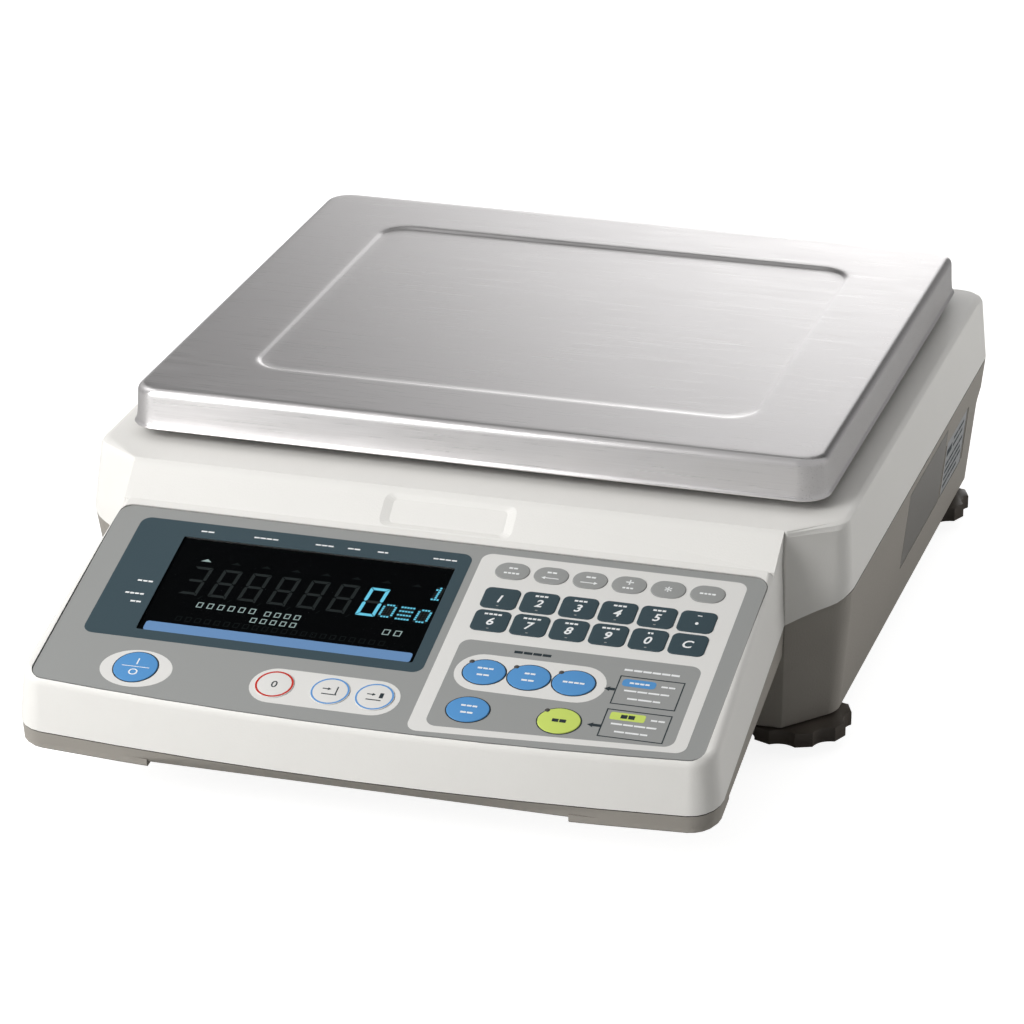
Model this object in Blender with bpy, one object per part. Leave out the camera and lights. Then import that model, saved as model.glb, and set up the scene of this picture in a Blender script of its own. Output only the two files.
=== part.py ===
"""Counting scale: a levelling bench scale with a weighing pan, a sloped keypad and a display.

Frame: metres, +X to the user's right, +Y away from the user, +Z up.
The origin is the centre of the footprint at floor level, under the foot pads.
The deck frame has its origin on the keypad overlay's back edge: u runs right,
v runs up the slope and w stands square to the keypad.
"""
import math

import bmesh
import bpy
from mathutils import Matrix, Vector

# Gaps
GAP = 0.0003
SEAM_GAP = 0.0006

# Main body
BODY_HALF_WIDTH = 0.165
BODY_REAR_Y = 0.2193
BODY_FRONT_Y = -0.085
FACET_INNER_X = 0.141
FACET_OUTER_Y = -0.0735
FACET_TWIST = 2.3
REAR_CORNER_RADIUS = 0.009
FACET_CORNER_RADIUS = 0.012
CREASE_RADIUS = 0.0012
PLATEAU_Z = 0.100
SIDE_SEAM_Z = 0.0705
BODY_BOTTOM_Z = 0.0115
WALL = 0.0026
TOP_DRAFT = 0.0026
BOTTOM_DRAFT = 0.0062
SHALLOW_DRAFT = 0.35
BOTTOM_CHAMFER = 0.0012
FACET_STEPS = 5
FACET_FOOT_Z = 0.030

# Keypad housing
DECK_ANGLE = math.radians(16.0)
DECK_BACK_Y = -0.1026
DECK_BACK_Z = 0.0863
HOUSING_HALF_WIDTH = 0.1453
HOUSING_BACK_HALF_WIDTH = 0.1408
HOUSING_FRONT_Y = -0.2193
HOUSING_BACK_Y = -0.060
HOUSING_CORNER_RADIUS = 0.013
BOW = 0.0054
BOW_HALF_SPAN = 0.135
RIM_HEIGHT = 0.0006
FRONT_SEAM_Z = 0.0319
CREASE_SEAM_Z = 0.0589
SEAM_RISE_END_Y = -0.068
SEAM_RISE_POWER = 1.6
TRAY_FRONT_Z = 0.0260
TRAY_SLOPE = 0.138
TRAY_FRONT_STEP = 0.004
PAD_INNER_X = 0.087
PAD_DEPTH = 0.032
PAD_DROP = 0.0016

# Keypad overlay, in the deck frame
OVERLAY_HALF_WIDTH = 0.1385
OVERLAY_FRONT_V = -0.118
OVERLAY_THICKNESS = 0.0008
OVERLAY_CORNER_RADIUS = 0.006
POCKET_W = -(OVERLAY_THICKNESS + GAP)
DECK_UNDERSIDE_W = -0.0036
WINDOW_LEFT, WINDOW_RIGHT = -0.106, 0.0115
WINDOW_FRONT, WINDOW_BACK = -0.0767, -0.0155
WINDOW_LEDGE = 0.002
BOARD_OPENING = ((0.019, -0.006), (0.019, -0.087), (-0.1135, -0.087), (-0.1135, -0.111),
                 (0.133, -0.111), (0.133, -0.006))
BOARD_TOP_W = -0.0024
BOARD_THICKNESS = 0.0016
BOARD_MARGIN = 0.0004
MAIN_BOARD_W = -0.0176

# Scoop in the front band; W counts square to the band
SCOOP_CENTRE = (0.0, -0.0926, 0.0938)
SCOOP_SLOPE = math.atan2(0.0104, 0.0128)
SCOOP_FLOOR_HALF = (0.0245, 0.0056)
SCOOP_MOUTH_HALF = (0.0325, 0.0100)
SCOOP_W = (-0.0016, 0.0004)

# Keys, in the deck frame
KEY_TOP_W = 0.0005
KEY_FLANGE_W = -0.0011
KEY_BOTTOM_W = -0.0019
KEY_FLANGE = 0.0005
KEY_CLEARANCE = 0.00025
KEY_EDGE = 0.0003
KEY_ARC = 2
KEY_SIDES = 18
FIELD_U = 0.03476
FIELD_PITCH = 0.01629
FUNCTION_V = -0.01406
FIRST_DIGIT_V = -0.0317
SECOND_DIGIT_V = -0.046
SAMPLE_U = 0.0411
SAMPLE_PITCH = 0.01832
SAMPLE_V = -0.077
REGISTER_V = -0.100
REGISTER_U = 0.0781
ROUND_V = -0.0997
DIGIT_SIZE = (0.0149, 0.0129, 0.0027)
FUNCTION_SIZE = (0.0147, 0.0107, 0.0053)
OVAL_SIZE = (0.0170, 0.0145)
POWER_DIAMETER = 0.0177
ROUND_DIAMETER = 0.0158
POWER_U = -0.0974
ZERO_U = -0.0389
TARE_SET_U = -0.0157
TARE_U = 0.0027

# Weighing pan
PAN_Y = 0.073
PAN_TOP_Z = 0.122
PAN_HALF = (0.150, 0.135)
PAN_CORNER_RADIUS = 0.0115
PAN_SHEET = 0.0012
PAN_RECESS = 0.001
PAN_RECESS_HALF = (0.111, 0.0965)
PAN_LIP_Z = 0.1046

# Weighing frame
ARM_Z = (0.1042, 0.1095)
CUSHION_AT = (0.126, 0.110)
CUSHION_RADIUS = 0.009
POST_X = 0.048
POST_HALF = (0.019, 0.016)
CELL_Z = (0.030, 0.062)
CELL_HALF_LENGTH = 0.068
CELL_HALF_WIDTH = 0.020
BOLT_X = (0.040, 0.056)
BOLT_RADIUS = 0.003
BOLT_HEAD_RADIUS = 0.005
BOLT_HEAD_HEIGHT = 0.006

# Chassis
CHASSIS_Z = (0.0160, 0.0200)
BOSS_Z = (0.0143, 0.0330)

# Levelling feet
FOOT_X = 0.141
FOOT_FRONT_Y = -0.0625
FOOT_REAR_Y = 0.182
WHEEL_RADIUS = 0.0235
WHEEL_Z = (0.0046, 0.0110)
WHEEL_LOBES = 8
LOBE_SHARE = 0.38
SCALLOP_DEPTH = 0.0024
WHEEL_CHAMFER = 0.0006
STEM_RADIUS = 0.004
STEM_TOP_Z = 0.036
PAD_RADIUS = 0.0115
PAD_HEIGHT = 0.0031

# Rear wall and fittings
REAR_STEP_Z = 0.0615
REAR_WALL_Y = 0.203
INLET_X = 0.092
SERIAL_X = 0.030
FITTING_Z = 0.036
SIDE_COVER_Y = (0.049, 0.128)
SIDE_COVER_Z = (0.031, 0.0655)
LABEL_Y = (0.134, 0.178)
LABEL_Z = (0.031, 0.057)
VIAL_AT = (-0.112, 0.178)
VIAL_RADIUS = 0.007

DECK_FRAME = Matrix.Translation((0, DECK_BACK_Y, DECK_BACK_Z)) @ Matrix.Rotation(DECK_ANGLE, 4, 'X')


def clear_scene():
    for item in list(bpy.data.objects):
        bpy.data.objects.remove(item, do_unlink=True)


def material(name, colour, roughness, metallic=0.0):
    made = bpy.data.materials.new(name)
    made.use_nodes = True
    shader = made.node_tree.nodes["Principled BSDF"]
    shader.inputs["Base Color"].default_value = (*colour, 1.0)
    shader.inputs["Roughness"].default_value = roughness
    shader.inputs["Metallic"].default_value = metallic
    return made


def make_object(name, mesh_data, frame=None):
    made = bpy.data.objects.new(name, mesh_data)
    bpy.context.scene.collection.objects.link(made)
    if frame is not None:
        made.matrix_world = frame
    return made


def mesh_from_bmesh(name, shape):
    bmesh.ops.recalc_face_normals(shape, faces=shape.faces)
    data = bpy.data.meshes.new(name)
    shape.to_mesh(data)
    shape.free()
    return data


def loft(name, rings, frame=None):
    """A closed solid through rings of equal length, capped at both ends."""
    shape = bmesh.new()
    loops = [[shape.verts.new(point) for point in ring] for ring in rings]
    for lower, upper in zip(loops, loops[1:]):
        for index, vertex in enumerate(lower):
            after = (index + 1) % len(lower)
            shape.faces.new((vertex, lower[after], upper[after], upper[index]))
    shape.faces.new(loops[0])
    shape.faces.new(loops[-1])
    return make_object(name, mesh_from_bmesh(name, shape), frame)


def prism(name, outline, low, high, frame=None):
    return loft(name, [[(x, y, low) for x, y in outline], [(x, y, high) for x, y in outline]], frame)


def box(name, low, high, frame=None):
    outline = ((low[0], low[1]), (high[0], low[1]), (high[0], high[1]), (low[0], high[1]))
    return prism(name, outline, low[2], high[2], frame)


def side_prism(name, profile, half_width):
    """A prism along X from a profile of (y, z) points."""
    return loft(name, [[(x, y, z) for y, z in profile] for x in (-half_width, half_width)])


def combine(target, tool, operation):
    """Boolean the tool into the target, keep the result as the target's mesh and drop the tool."""
    modifier = target.modifiers.new(operation.title(), 'BOOLEAN')
    modifier.object = tool
    modifier.operation = operation
    modifier.solver = 'EXACT'
    bpy.context.view_layer.update()
    evaluated = target.evaluated_get(bpy.context.evaluated_depsgraph_get())
    result = bpy.data.meshes.new_from_object(evaluated)
    target.modifiers.clear()
    target.data = result
    bpy.data.objects.remove(tool, do_unlink=True)
    return target


def cut(target, *tools):
    for tool in tools:
        combine(target, tool, 'DIFFERENCE')
    return target


def fuse(target, *tools):
    for tool in tools:
        combine(target, tool, 'UNION')
    return target


def finish(item, name, look, smooth_angle=35.0):
    """Name the object, give it its material and shade its round faces smooth."""
    item.name = name
    item.data.name = name
    item.data.materials.clear()
    item.data.materials.append(look)
    item.data.shade_smooth()
    item.data.set_sharp_from_angle(angle=math.radians(smooth_angle))
    return item


def ellipse(radius_u, radius_v, steps, centre=(0.0, 0.0)):
    angles = [2 * math.pi * index / steps for index in range(steps)]
    return [(centre[0] + radius_u * math.cos(a), centre[1] + radius_v * math.sin(a)) for a in angles]


def rounded_rectangle(half_u, half_v, radius, steps=4, centre=(0.0, 0.0)):
    points = []
    for quarter, (sign_u, sign_v) in enumerate(((1, 1), (-1, 1), (-1, -1), (1, -1))):
        for index in range(steps + 1):
            angle = (quarter + index / steps) * math.pi / 2
            u = centre[0] + sign_u * (half_u - radius) + radius * math.cos(angle)
            v = centre[1] + sign_v * (half_v - radius) + radius * math.sin(angle)
            points.append((u, v))
    return points


def move_edge(start, end, inset):
    """An edge of an anticlockwise outline, moved inwards."""
    direction = (Vector(end) - Vector(start)).normalized()
    shift = Vector((-direction.y, direction.x)) * inset
    return Vector(start) + shift, direction


def corner_point(first, second):
    """The crossing of two lines given as (point, direction)."""
    (p, d), (q, e) = first, second
    along = (q - p).cross(e) / d.cross(e)
    return p + d * along


def fillet(point, before, after, radius, steps):
    """Arc points that round the corner between two edge directions."""
    half_turn = math.acos(max(-1.0, min(1.0, before.dot(after)))) / 2
    reach = radius * math.tan(half_turn)
    start = point - before * reach
    centre = start + Vector((-before.y, before.x)) * radius
    first_angle = math.atan2((start - centre).y, (start - centre).x)
    points = []
    for index in range(steps + 1):
        angle = first_angle + 2 * half_turn * index / steps
        points.append((centre.x + radius * math.cos(angle), centre.y + radius * math.sin(angle)))
    return points


def body_outline(inset, wall=0.0, steps=5):
    """The main body's plan outline; the front and its facets draft less than the sides.

    The facets' outer corners move back as the outline shrinks, so each facet twists a little.
    A wall moves every edge in by the same amount and gives the outline of the hollow.
    """
    facet_y = FACET_OUTER_Y + FACET_TWIST * inset
    corners = ((BODY_HALF_WIDTH, BODY_REAR_Y), (-BODY_HALF_WIDTH, BODY_REAR_Y),
               (-BODY_HALF_WIDTH, facet_y), (-FACET_INNER_X, BODY_FRONT_Y),
               (FACET_INNER_X, BODY_FRONT_Y), (BODY_HALF_WIDTH, facet_y))
    shares = (SHALLOW_DRAFT, 1.0, SHALLOW_DRAFT, SHALLOW_DRAFT, SHALLOW_DRAFT, 1.0)
    radii = (REAR_CORNER_RADIUS, REAR_CORNER_RADIUS, FACET_CORNER_RADIUS,
             CREASE_RADIUS, CREASE_RADIUS, FACET_CORNER_RADIUS)
    lines = [move_edge(corners[i], corners[(i + 1) % len(corners)], inset * shares[i] + wall)
             for i in range(len(corners))]
    points = []
    for index, radius in enumerate(radii):
        before, after = lines[index - 1], lines[index]
        rounding = max(radius - wall, 0.0006)
        points += fillet(corner_point(before, after), before[1], after[1], rounding, steps)
    return points


def hollow_outline(inset):
    return body_outline(inset, WALL, 2)


def bow_y(x, inset):
    return HOUSING_FRONT_Y + inset + BOW * (x / BOW_HALF_SPAN) ** 2


def housing_outline(inset, steps=5, front_steps=8):
    """The keypad housing's plan outline: flared sides, rounded corners and a bowed front."""
    side = HOUSING_HALF_WIDTH - inset
    radius = max(HOUSING_CORNER_RADIUS - inset, 0.003)
    slope = math.atan(2 * BOW * (side - radius) / BOW_HALF_SPAN ** 2)
    arc_x = side - radius
    end_x = arc_x + radius * math.sin(slope)
    arc_y = bow_y(end_x, inset) + radius * math.cos(slope)
    right = []
    for index in range(steps + 1):
        angle = -(math.pi / 2 - slope) * (1 - index / steps)
        right.append((arc_x + radius * math.cos(angle), arc_y + radius * math.sin(angle)))
    front = []
    for index in range(1, front_steps):
        x = -end_x + 2 * end_x * index / front_steps
        front.append((x, bow_y(x, inset)))
    left = [(-x, y) for x, y in reversed(right)]
    back = HOUSING_BACK_HALF_WIDTH - inset
    hidden = back - (HOUSING_BACK_Y - BODY_FRONT_Y) * (side - back) / (BODY_FRONT_Y - arc_y)
    return [(-hidden, HOUSING_BACK_Y)] + left + front + right + [(hidden, HOUSING_BACK_Y)]


def deck_z(y):
    return DECK_BACK_Z + (y - DECK_BACK_Y) * math.tan(DECK_ANGLE)


def seam_z(y):
    """The housing's stretch of the seam, a slope along Y."""
    run = (y - HOUSING_FRONT_Y) / (BODY_FRONT_Y - HOUSING_FRONT_Y)
    return FRONT_SEAM_Z + (CREASE_SEAM_Z - FRONT_SEAM_Z) * run


def seam_profile(offset):
    """Points (y, z) along the seam: the housing's slope, a soft rise on the facet, then level."""
    far = 0.300
    start, end = BODY_FRONT_Y, SEAM_RISE_END_Y
    steps = 6
    points = [(-far, seam_z(-far))]
    for index in range(steps + 1):
        drop = (SIDE_SEAM_Z - CREASE_SEAM_Z) * (1 - index / steps) ** SEAM_RISE_POWER
        points.append((start + (end - start) * index / steps, SIDE_SEAM_Z - drop))
    points.append((far, SIDE_SEAM_Z))
    return [(y, z + offset) for y, z in points]


def below_seam(name, offset):
    depth = -0.050
    profile = seam_profile(offset)
    profile += [(profile[-1][0], depth), (profile[0][0], depth)]
    return side_prism(name, profile, 0.30)


def above_seam(name, offset):
    height = 0.250
    profile = seam_profile(offset)
    profile += [(profile[-1][0], height), (profile[0][0], height)]
    return side_prism(name, profile, 0.30)


def draft_levels(start, end, steps):
    """Levels of (z, inset) from one to the other, so that twisted facets stay smooth."""
    levels = []
    for index in range(steps):
        share = index / steps
        levels.append((start[0] + (end[0] - start[0]) * share, start[1] + (end[1] - start[1]) * share))
    return levels


def body_rings(levels, outline):
    return [[(x, y, z) for x, y in outline(inset)] for z, inset in levels]


def housing_rings(levels):
    """Rings whose height follows a sloped plane: each level is (height function, lift, inset)."""
    return [[(x, y, height(y) + lift) for x, y in housing_outline(inset)] for height, lift, inset in levels]


def body_top_solid():
    top = PLATEAU_Z
    shoulder = (top - 0.0027, TOP_DRAFT - 0.0002)
    levels = [(FACET_FOOT_Z, 0.0)] + draft_levels((SIDE_SEAM_Z, 0.0), shoulder, FACET_STEPS)
    levels += [shoulder, (top - 0.0010, TOP_DRAFT + 0.0006), (top - 0.0003, TOP_DRAFT + 0.0018),
               (top, TOP_DRAFT + 0.0034)]
    return loft("body_top", body_rings(levels, body_outline))


def housing_top_solid():
    rim = RIM_HEIGHT
    levels = ((seam_z, -0.010, 0.0), (seam_z, 0.0, 0.0), (deck_z, rim - 0.0034, 0.0018),
              (deck_z, rim - 0.0017, 0.0023), (deck_z, rim - 0.0005, 0.0034), (deck_z, rim, 0.0048))
    return loft("housing_top", housing_rings(levels))


def front_band_solid():
    """The sloped band that climbs from the keypad to the plateau's front ridge."""
    ridge = PLATEAU_Z - 0.0004
    base = 0.080
    profile = ((-0.0760, base), (-0.0990, base), (-0.0990, 0.0878), (-0.0862, ridge - 0.0014),
               (-0.0848, ridge - 0.0004), (-0.0835, ridge), (-0.0760, ridge))
    half_low, half_high = FACET_INNER_X - 0.0019, FACET_INNER_X - 0.0014
    taper = (half_low - half_high) / (ridge - base)
    rings = []
    for side in (-1, 1):
        rings.append([(side * (half_high + taper * (ridge - z)), y, z) for y, z in profile])
    return loft("front_band", rings)


def scoop_cutter():
    """A shallow scoop with gently sloped sides in the middle of the front band."""
    frame = Matrix.Translation(SCOOP_CENTRE) @ Matrix.Rotation(SCOOP_SLOPE, 4, 'X')
    floor = rounded_rectangle(SCOOP_FLOOR_HALF[0], SCOOP_FLOOR_HALF[1], 0.002)
    mouth = rounded_rectangle(SCOOP_MOUTH_HALF[0], SCOOP_MOUTH_HALF[1], 0.005)
    low, high = SCOOP_W
    return loft("scoop", [[(x, y, low) for x, y in floor], [(x, y, high) for x, y in mouth]], frame)


def top_cavity():
    levels = ((0.020, 0.0), (SIDE_SEAM_Z, 0.0), (PLATEAU_Z - WALL, TOP_DRAFT))
    body = loft("body_cavity", body_rings(levels, hollow_outline))
    wall = WALL
    housing_levels = ((seam_z, -0.012, wall), (seam_z, 0.0, wall), (deck_z, -0.0050, wall + 0.0016),
                      (deck_z, DECK_UNDERSIDE_W / math.cos(DECK_ANGLE), wall + 0.0024))
    housing = loft("housing_cavity", housing_rings(housing_levels))
    return fuse(body, housing)


def overlay_outline(grow=0.0):
    """The overlay in the deck frame: straight back and sides, a bowed front, rounded corners."""
    half = OVERLAY_HALF_WIDTH + grow
    radius = OVERLAY_CORNER_RADIUS + grow

    def front(u):
        return OVERLAY_FRONT_V - grow + BOW * (u / BOW_HALF_SPAN) ** 2 / math.cos(DECK_ANGLE)

    slope = math.atan(2 * BOW * (half - radius) / BOW_HALF_SPAN ** 2)
    end_u = half - radius + radius * math.sin(slope)
    arc_v = front(end_u) + radius * math.cos(slope)
    steps = 5
    right_front = []
    right_back = []
    for index in range(steps + 1):
        angle = -(math.pi / 2 - slope) * (1 - index / steps)
        right_front.append((half - radius + radius * math.cos(angle), arc_v + radius * math.sin(angle)))
        angle = math.pi / 2 * index / steps
        right_back.append((half - radius + radius * math.cos(angle), grow - radius + radius * math.sin(angle)))
    middle = [(-end_u + end_u * index / 5, front(-end_u + end_u * index / 5)) for index in range(1, 10)]
    left_front = [(-u, v) for u, v in reversed(right_front)]
    left_back = [(-u, v) for u, v in reversed(right_back)]
    return left_front + middle + right_front + right_back + left_back


def window_outline(inset):
    half_u = (WINDOW_RIGHT - WINDOW_LEFT) / 2 - inset
    half_v = (WINDOW_BACK - WINDOW_FRONT) / 2 - inset
    centre = ((WINDOW_RIGHT + WINDOW_LEFT) / 2, (WINDOW_BACK + WINDOW_FRONT) / 2)
    return rounded_rectangle(half_u, half_v, 0.001, 3, centre)


def deck_openings():
    pocket = prism("pocket", overlay_outline(GAP), POCKET_W, 0.010, DECK_FRAME)
    window = prism("window", window_outline(WINDOW_LEDGE), -0.020, 0.010, DECK_FRAME)
    board = prism("board_opening", BOARD_OPENING, -0.020, 0.010, DECK_FRAME)
    return pocket, window, board


def make_top_case(look):
    case = fuse(body_top_solid(), housing_top_solid(), front_band_solid())
    cut(case, scoop_cutter(), top_cavity(), *deck_openings())
    post = prism("post_opening", rounded_rectangle(POST_HALF[0] + 0.003, POST_HALF[1] + 0.003, 0.004, 4,
                                                   (POST_X, PAN_Y)), 0.080, 0.120)
    vial = prism("vial_opening", ellipse(VIAL_RADIUS + GAP, VIAL_RADIUS + GAP, 18, VIAL_AT), 0.080, 0.120)
    cut(case, post, vial, below_seam("seam_cut", 0.0))
    return finish(case, "top_case", look, 30.0)


def body_bottom_solid():
    low = BODY_BOTTOM_Z
    levels = [(low, BOTTOM_DRAFT + BOTTOM_CHAMFER)]
    levels += draft_levels((low + BOTTOM_CHAMFER, BOTTOM_DRAFT), (SIDE_SEAM_Z, 0.0), FACET_STEPS)
    levels += [(SIDE_SEAM_Z, 0.0), (SIDE_SEAM_Z + 0.0145, 0.0)]
    return loft("body_bottom", body_rings(levels, body_outline))


def tray_z(y):
    """The tray's underside, a gentler slope than the seam."""
    return TRAY_FRONT_Z + TRAY_SLOPE * (y - HOUSING_FRONT_Y - TRAY_FRONT_STEP)


def tray_ring(height, lift, inset, front_step=0.0):
    """A ring under the housing; a front step flattens the bow along the lower edge."""
    front = HOUSING_FRONT_Y + front_step
    outline = [(x, max(y, front)) for x, y in housing_outline(inset)]
    return [(x, y, height(y) + lift) for x, y in outline]


def tray_solid():
    step = TRAY_FRONT_STEP
    rings = [tray_ring(tray_z, 0.0, 0.0018, step + 0.0010), tray_ring(tray_z, 0.0010, 0.0008, step),
             tray_ring(seam_z, -0.0006, 0.0003), tray_ring(seam_z, 0.0, 0.0), tray_ring(seam_z, 0.020, 0.0)]
    return loft("tray", rings)


def tray_pad(side):
    """A slightly deeper block under one front end of the keypad tray."""
    drop = PAD_DROP
    rings = [tray_ring(tray_z, -drop, 0.0019), tray_ring(tray_z, 0.0010 - drop, 0.0009),
             tray_ring(tray_z, 0.0020, 0.0009)]
    pad = loft("tray_pad", rings)
    xs = sorted((side * PAD_INNER_X, side * BODY_HALF_WIDTH))
    front, back = HOUSING_FRONT_Y - 0.010, HOUSING_FRONT_Y + PAD_DEPTH
    return combine(pad, box("pad_limit", (xs[0], front, 0.0), (xs[1], back, 0.060)), 'INTERSECT')


def bottom_cavity():
    low = BODY_BOTTOM_Z + 0.0025
    levels = ((low, BOTTOM_DRAFT), (SIDE_SEAM_Z, 0.0), (0.095, 0.0))
    body = loft("bottom_cavity", body_rings(levels, hollow_outline))
    inner = rear_step_cutter("inner_step", WALL)
    cut(body, inner)
    rings = [tray_ring(tray_z, 0.0022, 0.0060, 0.0070), tray_ring(seam_z, 0.0, WALL),
             tray_ring(seam_z, 0.024, WALL)]
    return fuse(body, loft("tray_cavity", rings))


def rear_step_cutter(name, thickness):
    """The step that sets the lower rear wall back under the upper rim."""
    rim = REAR_STEP_Z + thickness
    wall = REAR_WALL_Y - thickness
    profile = ((0.260, rim), (BODY_REAR_Y - 0.0025 - thickness, rim), (wall + 0.0015, rim - 0.0090),
               (wall, rim - 0.0110), (wall, -0.010), (0.260, -0.010))
    return side_prism(name, profile, 0.30)


def side_frame():
    """A frame on the right wall of the bottom case: x outwards, y backwards, z up the drafted wall."""
    height = SIDE_SEAM_Z - BODY_BOTTOM_Z - BOTTOM_CHAMFER
    angle = math.atan2(BOTTOM_DRAFT, height)
    return Matrix.Translation((BODY_HALF_WIDTH, 0, SIDE_SEAM_Z)) @ Matrix.Rotation(angle, 4, 'Y')


def wall_box(name, y_range, z_range, grow, depth_low, depth_high):
    low = (depth_low, y_range[0] - grow, z_range[0] - SIDE_SEAM_Z - grow)
    high = (depth_high, y_range[1] + grow, z_range[1] - SIDE_SEAM_Z + grow)
    return box(name, low, high, side_frame())


def wall_slot(name, y):
    return wall_box(name, (y - 0.0009, y + 0.0009), LABEL_Z, 0.0, -0.012, 0.010)


def rear_openings():
    inlet = box("inlet_opening", (INLET_X - 0.0145, 0.190, FITTING_Z - 0.0105),
                (INLET_X + 0.0145, 0.230, FITTING_Z + 0.0105))
    serial = box("serial_opening", (SERIAL_X - 0.0095, 0.190, FITTING_Z - 0.0050),
                 (SERIAL_X + 0.0095, 0.230, FITTING_Z + 0.0050))
    return inlet, serial


def foot_places():
    return (("front_left", -FOOT_X, FOOT_FRONT_Y), ("front_right", FOOT_X, FOOT_FRONT_Y),
            ("rear_left", -FOOT_X, FOOT_REAR_Y), ("rear_right", FOOT_X, FOOT_REAR_Y))


def make_bottom_case(look):
    case = fuse(body_bottom_solid(), tray_solid(), tray_pad(-1), tray_pad(1))
    cut(case, bottom_cavity(), rear_step_cutter("outer_step", 0.0), *rear_openings())
    for _, x, y in foot_places():
        cut(case, prism("stem_hole", ellipse(0.0055, 0.0055, 20, (x, y)), 0.005, 0.020))
    cut(case, wall_box("cover_pocket", SIDE_COVER_Y, SIDE_COVER_Z, 0.00035, -0.0013, 0.010))
    cut(case, wall_box("label_pocket", LABEL_Y, LABEL_Z, 0.0004, -0.0007, 0.010))
    cut(case, wall_slot("front_slot", SIDE_COVER_Y[1] + 0.0030), wall_slot("rear_slot", LABEL_Y[1] + 0.0030))
    cut(case, above_seam("seam_cut", -SEAM_GAP))
    return finish(case, "bottom_case", look, 30.0)


def pan_ring(inset, z, half=PAN_HALF, radius=PAN_CORNER_RADIUS):
    outline = rounded_rectangle(half[0] - inset, half[1] - inset, max(radius - inset * 0.7, 0.004), 5)
    return [(x, y, z - PAN_TOP_Z) for x, y in outline]


def make_pan(look):
    """Pressed sheet: recessed middle, rolled edge, drafted skirt and a small outward lip."""
    top, sheet, recess = PAN_TOP_Z, PAN_SHEET, PAN_RECESS
    rings = [pan_ring(0.0028, top - recess, PAN_RECESS_HALF), pan_ring(0.0005, top - 0.0001, PAN_RECESS_HALF),
             pan_ring(-0.0006, top, PAN_RECESS_HALF), pan_ring(0.0038, top), pan_ring(0.0022, top - 0.0004),
             pan_ring(0.0009, top - 0.0014), pan_ring(0.0002, top - 0.0032), pan_ring(-0.0006, PAN_LIP_Z + 0.0016),
             pan_ring(-0.0014, PAN_LIP_Z + 0.0007), pan_ring(-0.0014, PAN_LIP_Z),
             pan_ring(0.0002, PAN_LIP_Z), pan_ring(sheet - 0.0002, PAN_LIP_Z + 0.0020),
             pan_ring(sheet + 0.0002, top - 0.0040), pan_ring(sheet + 0.0022, top - sheet),
             pan_ring(0.0004, top - sheet, PAN_RECESS_HALF),
             pan_ring(0.0036, top - sheet - recess, PAN_RECESS_HALF)]
    frame = Matrix.Translation((0, PAN_Y, PAN_TOP_Z))
    return finish(loft("weighing_pan", rings, frame), "weighing_pan", look, 50.0)


def arm(name, start, end, half_width, low, high):
    """A flat bar between two plan points."""
    direction = (Vector(end) - Vector(start)).normalized()
    side = Vector((-direction.y, direction.x)) * half_width
    corners = [Vector(start) - side, Vector(end) - side, Vector(end) + side, Vector(start) + side]
    return prism(name, [tuple(corner) for corner in corners], low, high)


def make_pan_support(look):
    """A cast spider with four arms and a post down to the load cell's free end."""
    low, high = ARM_Z
    centre = (POST_X, PAN_Y)
    support = prism("pan_support", rounded_rectangle(POST_HALF[0], POST_HALF[1], 0.003, 3, centre),
                    CELL_Z[1] + 0.0005, high - 0.0002)
    fuse(support, prism("hub", rounded_rectangle(0.066, 0.030, 0.008, 4, (0, PAN_Y)), low, high))
    for sign_x in (-1, 1):
        for sign_y in (-1, 1):
            end = (sign_x * CUSHION_AT[0], PAN_Y + sign_y * CUSHION_AT[1])
            start = (sign_x * 0.040, PAN_Y + sign_y * 0.010)
            fuse(support, arm("arm", start, end, 0.0075, low + 0.0004, high - 0.0004))
            seat = prism("seat", ellipse(0.0115, 0.0115, 16, end), low + 0.0002, high + 0.0004)
            fuse(support, seat)
    for x in BOLT_X:
        cut(support, prism("bolt_hole", ellipse(BOLT_RADIUS + GAP, BOLT_RADIUS + GAP, 12, (x, PAN_Y)),
                           CELL_Z[1] - 0.002, CELL_Z[1] + 0.0145))
    return finish(support, "pan_support", look)


def make_cushion(name, x, y, look):
    low = ARM_Z[1] + 0.0004 + GAP
    high = PAN_TOP_Z - PAN_SHEET - GAP
    radius = CUSHION_RADIUS
    levels = ((low, radius), (high - 0.0020, radius), (high - 0.0006, radius - 0.0006), (high, radius - 0.0020))
    rings = [[(px, py, z) for px, py in ellipse(r, r, 16)] for z, r in levels]
    return finish(loft(name, rings, Matrix.Translation((x, y, 0))), name, look)


def make_cushions(look):
    for side, sign_x in (("left", -1), ("right", 1)):
        for end, sign_y in (("front", -1), ("rear", 1)):
            make_cushion("pan_cushion_" + end + "_" + side, sign_x * CUSHION_AT[0],
                         PAN_Y + sign_y * CUSHION_AT[1], look)


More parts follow.
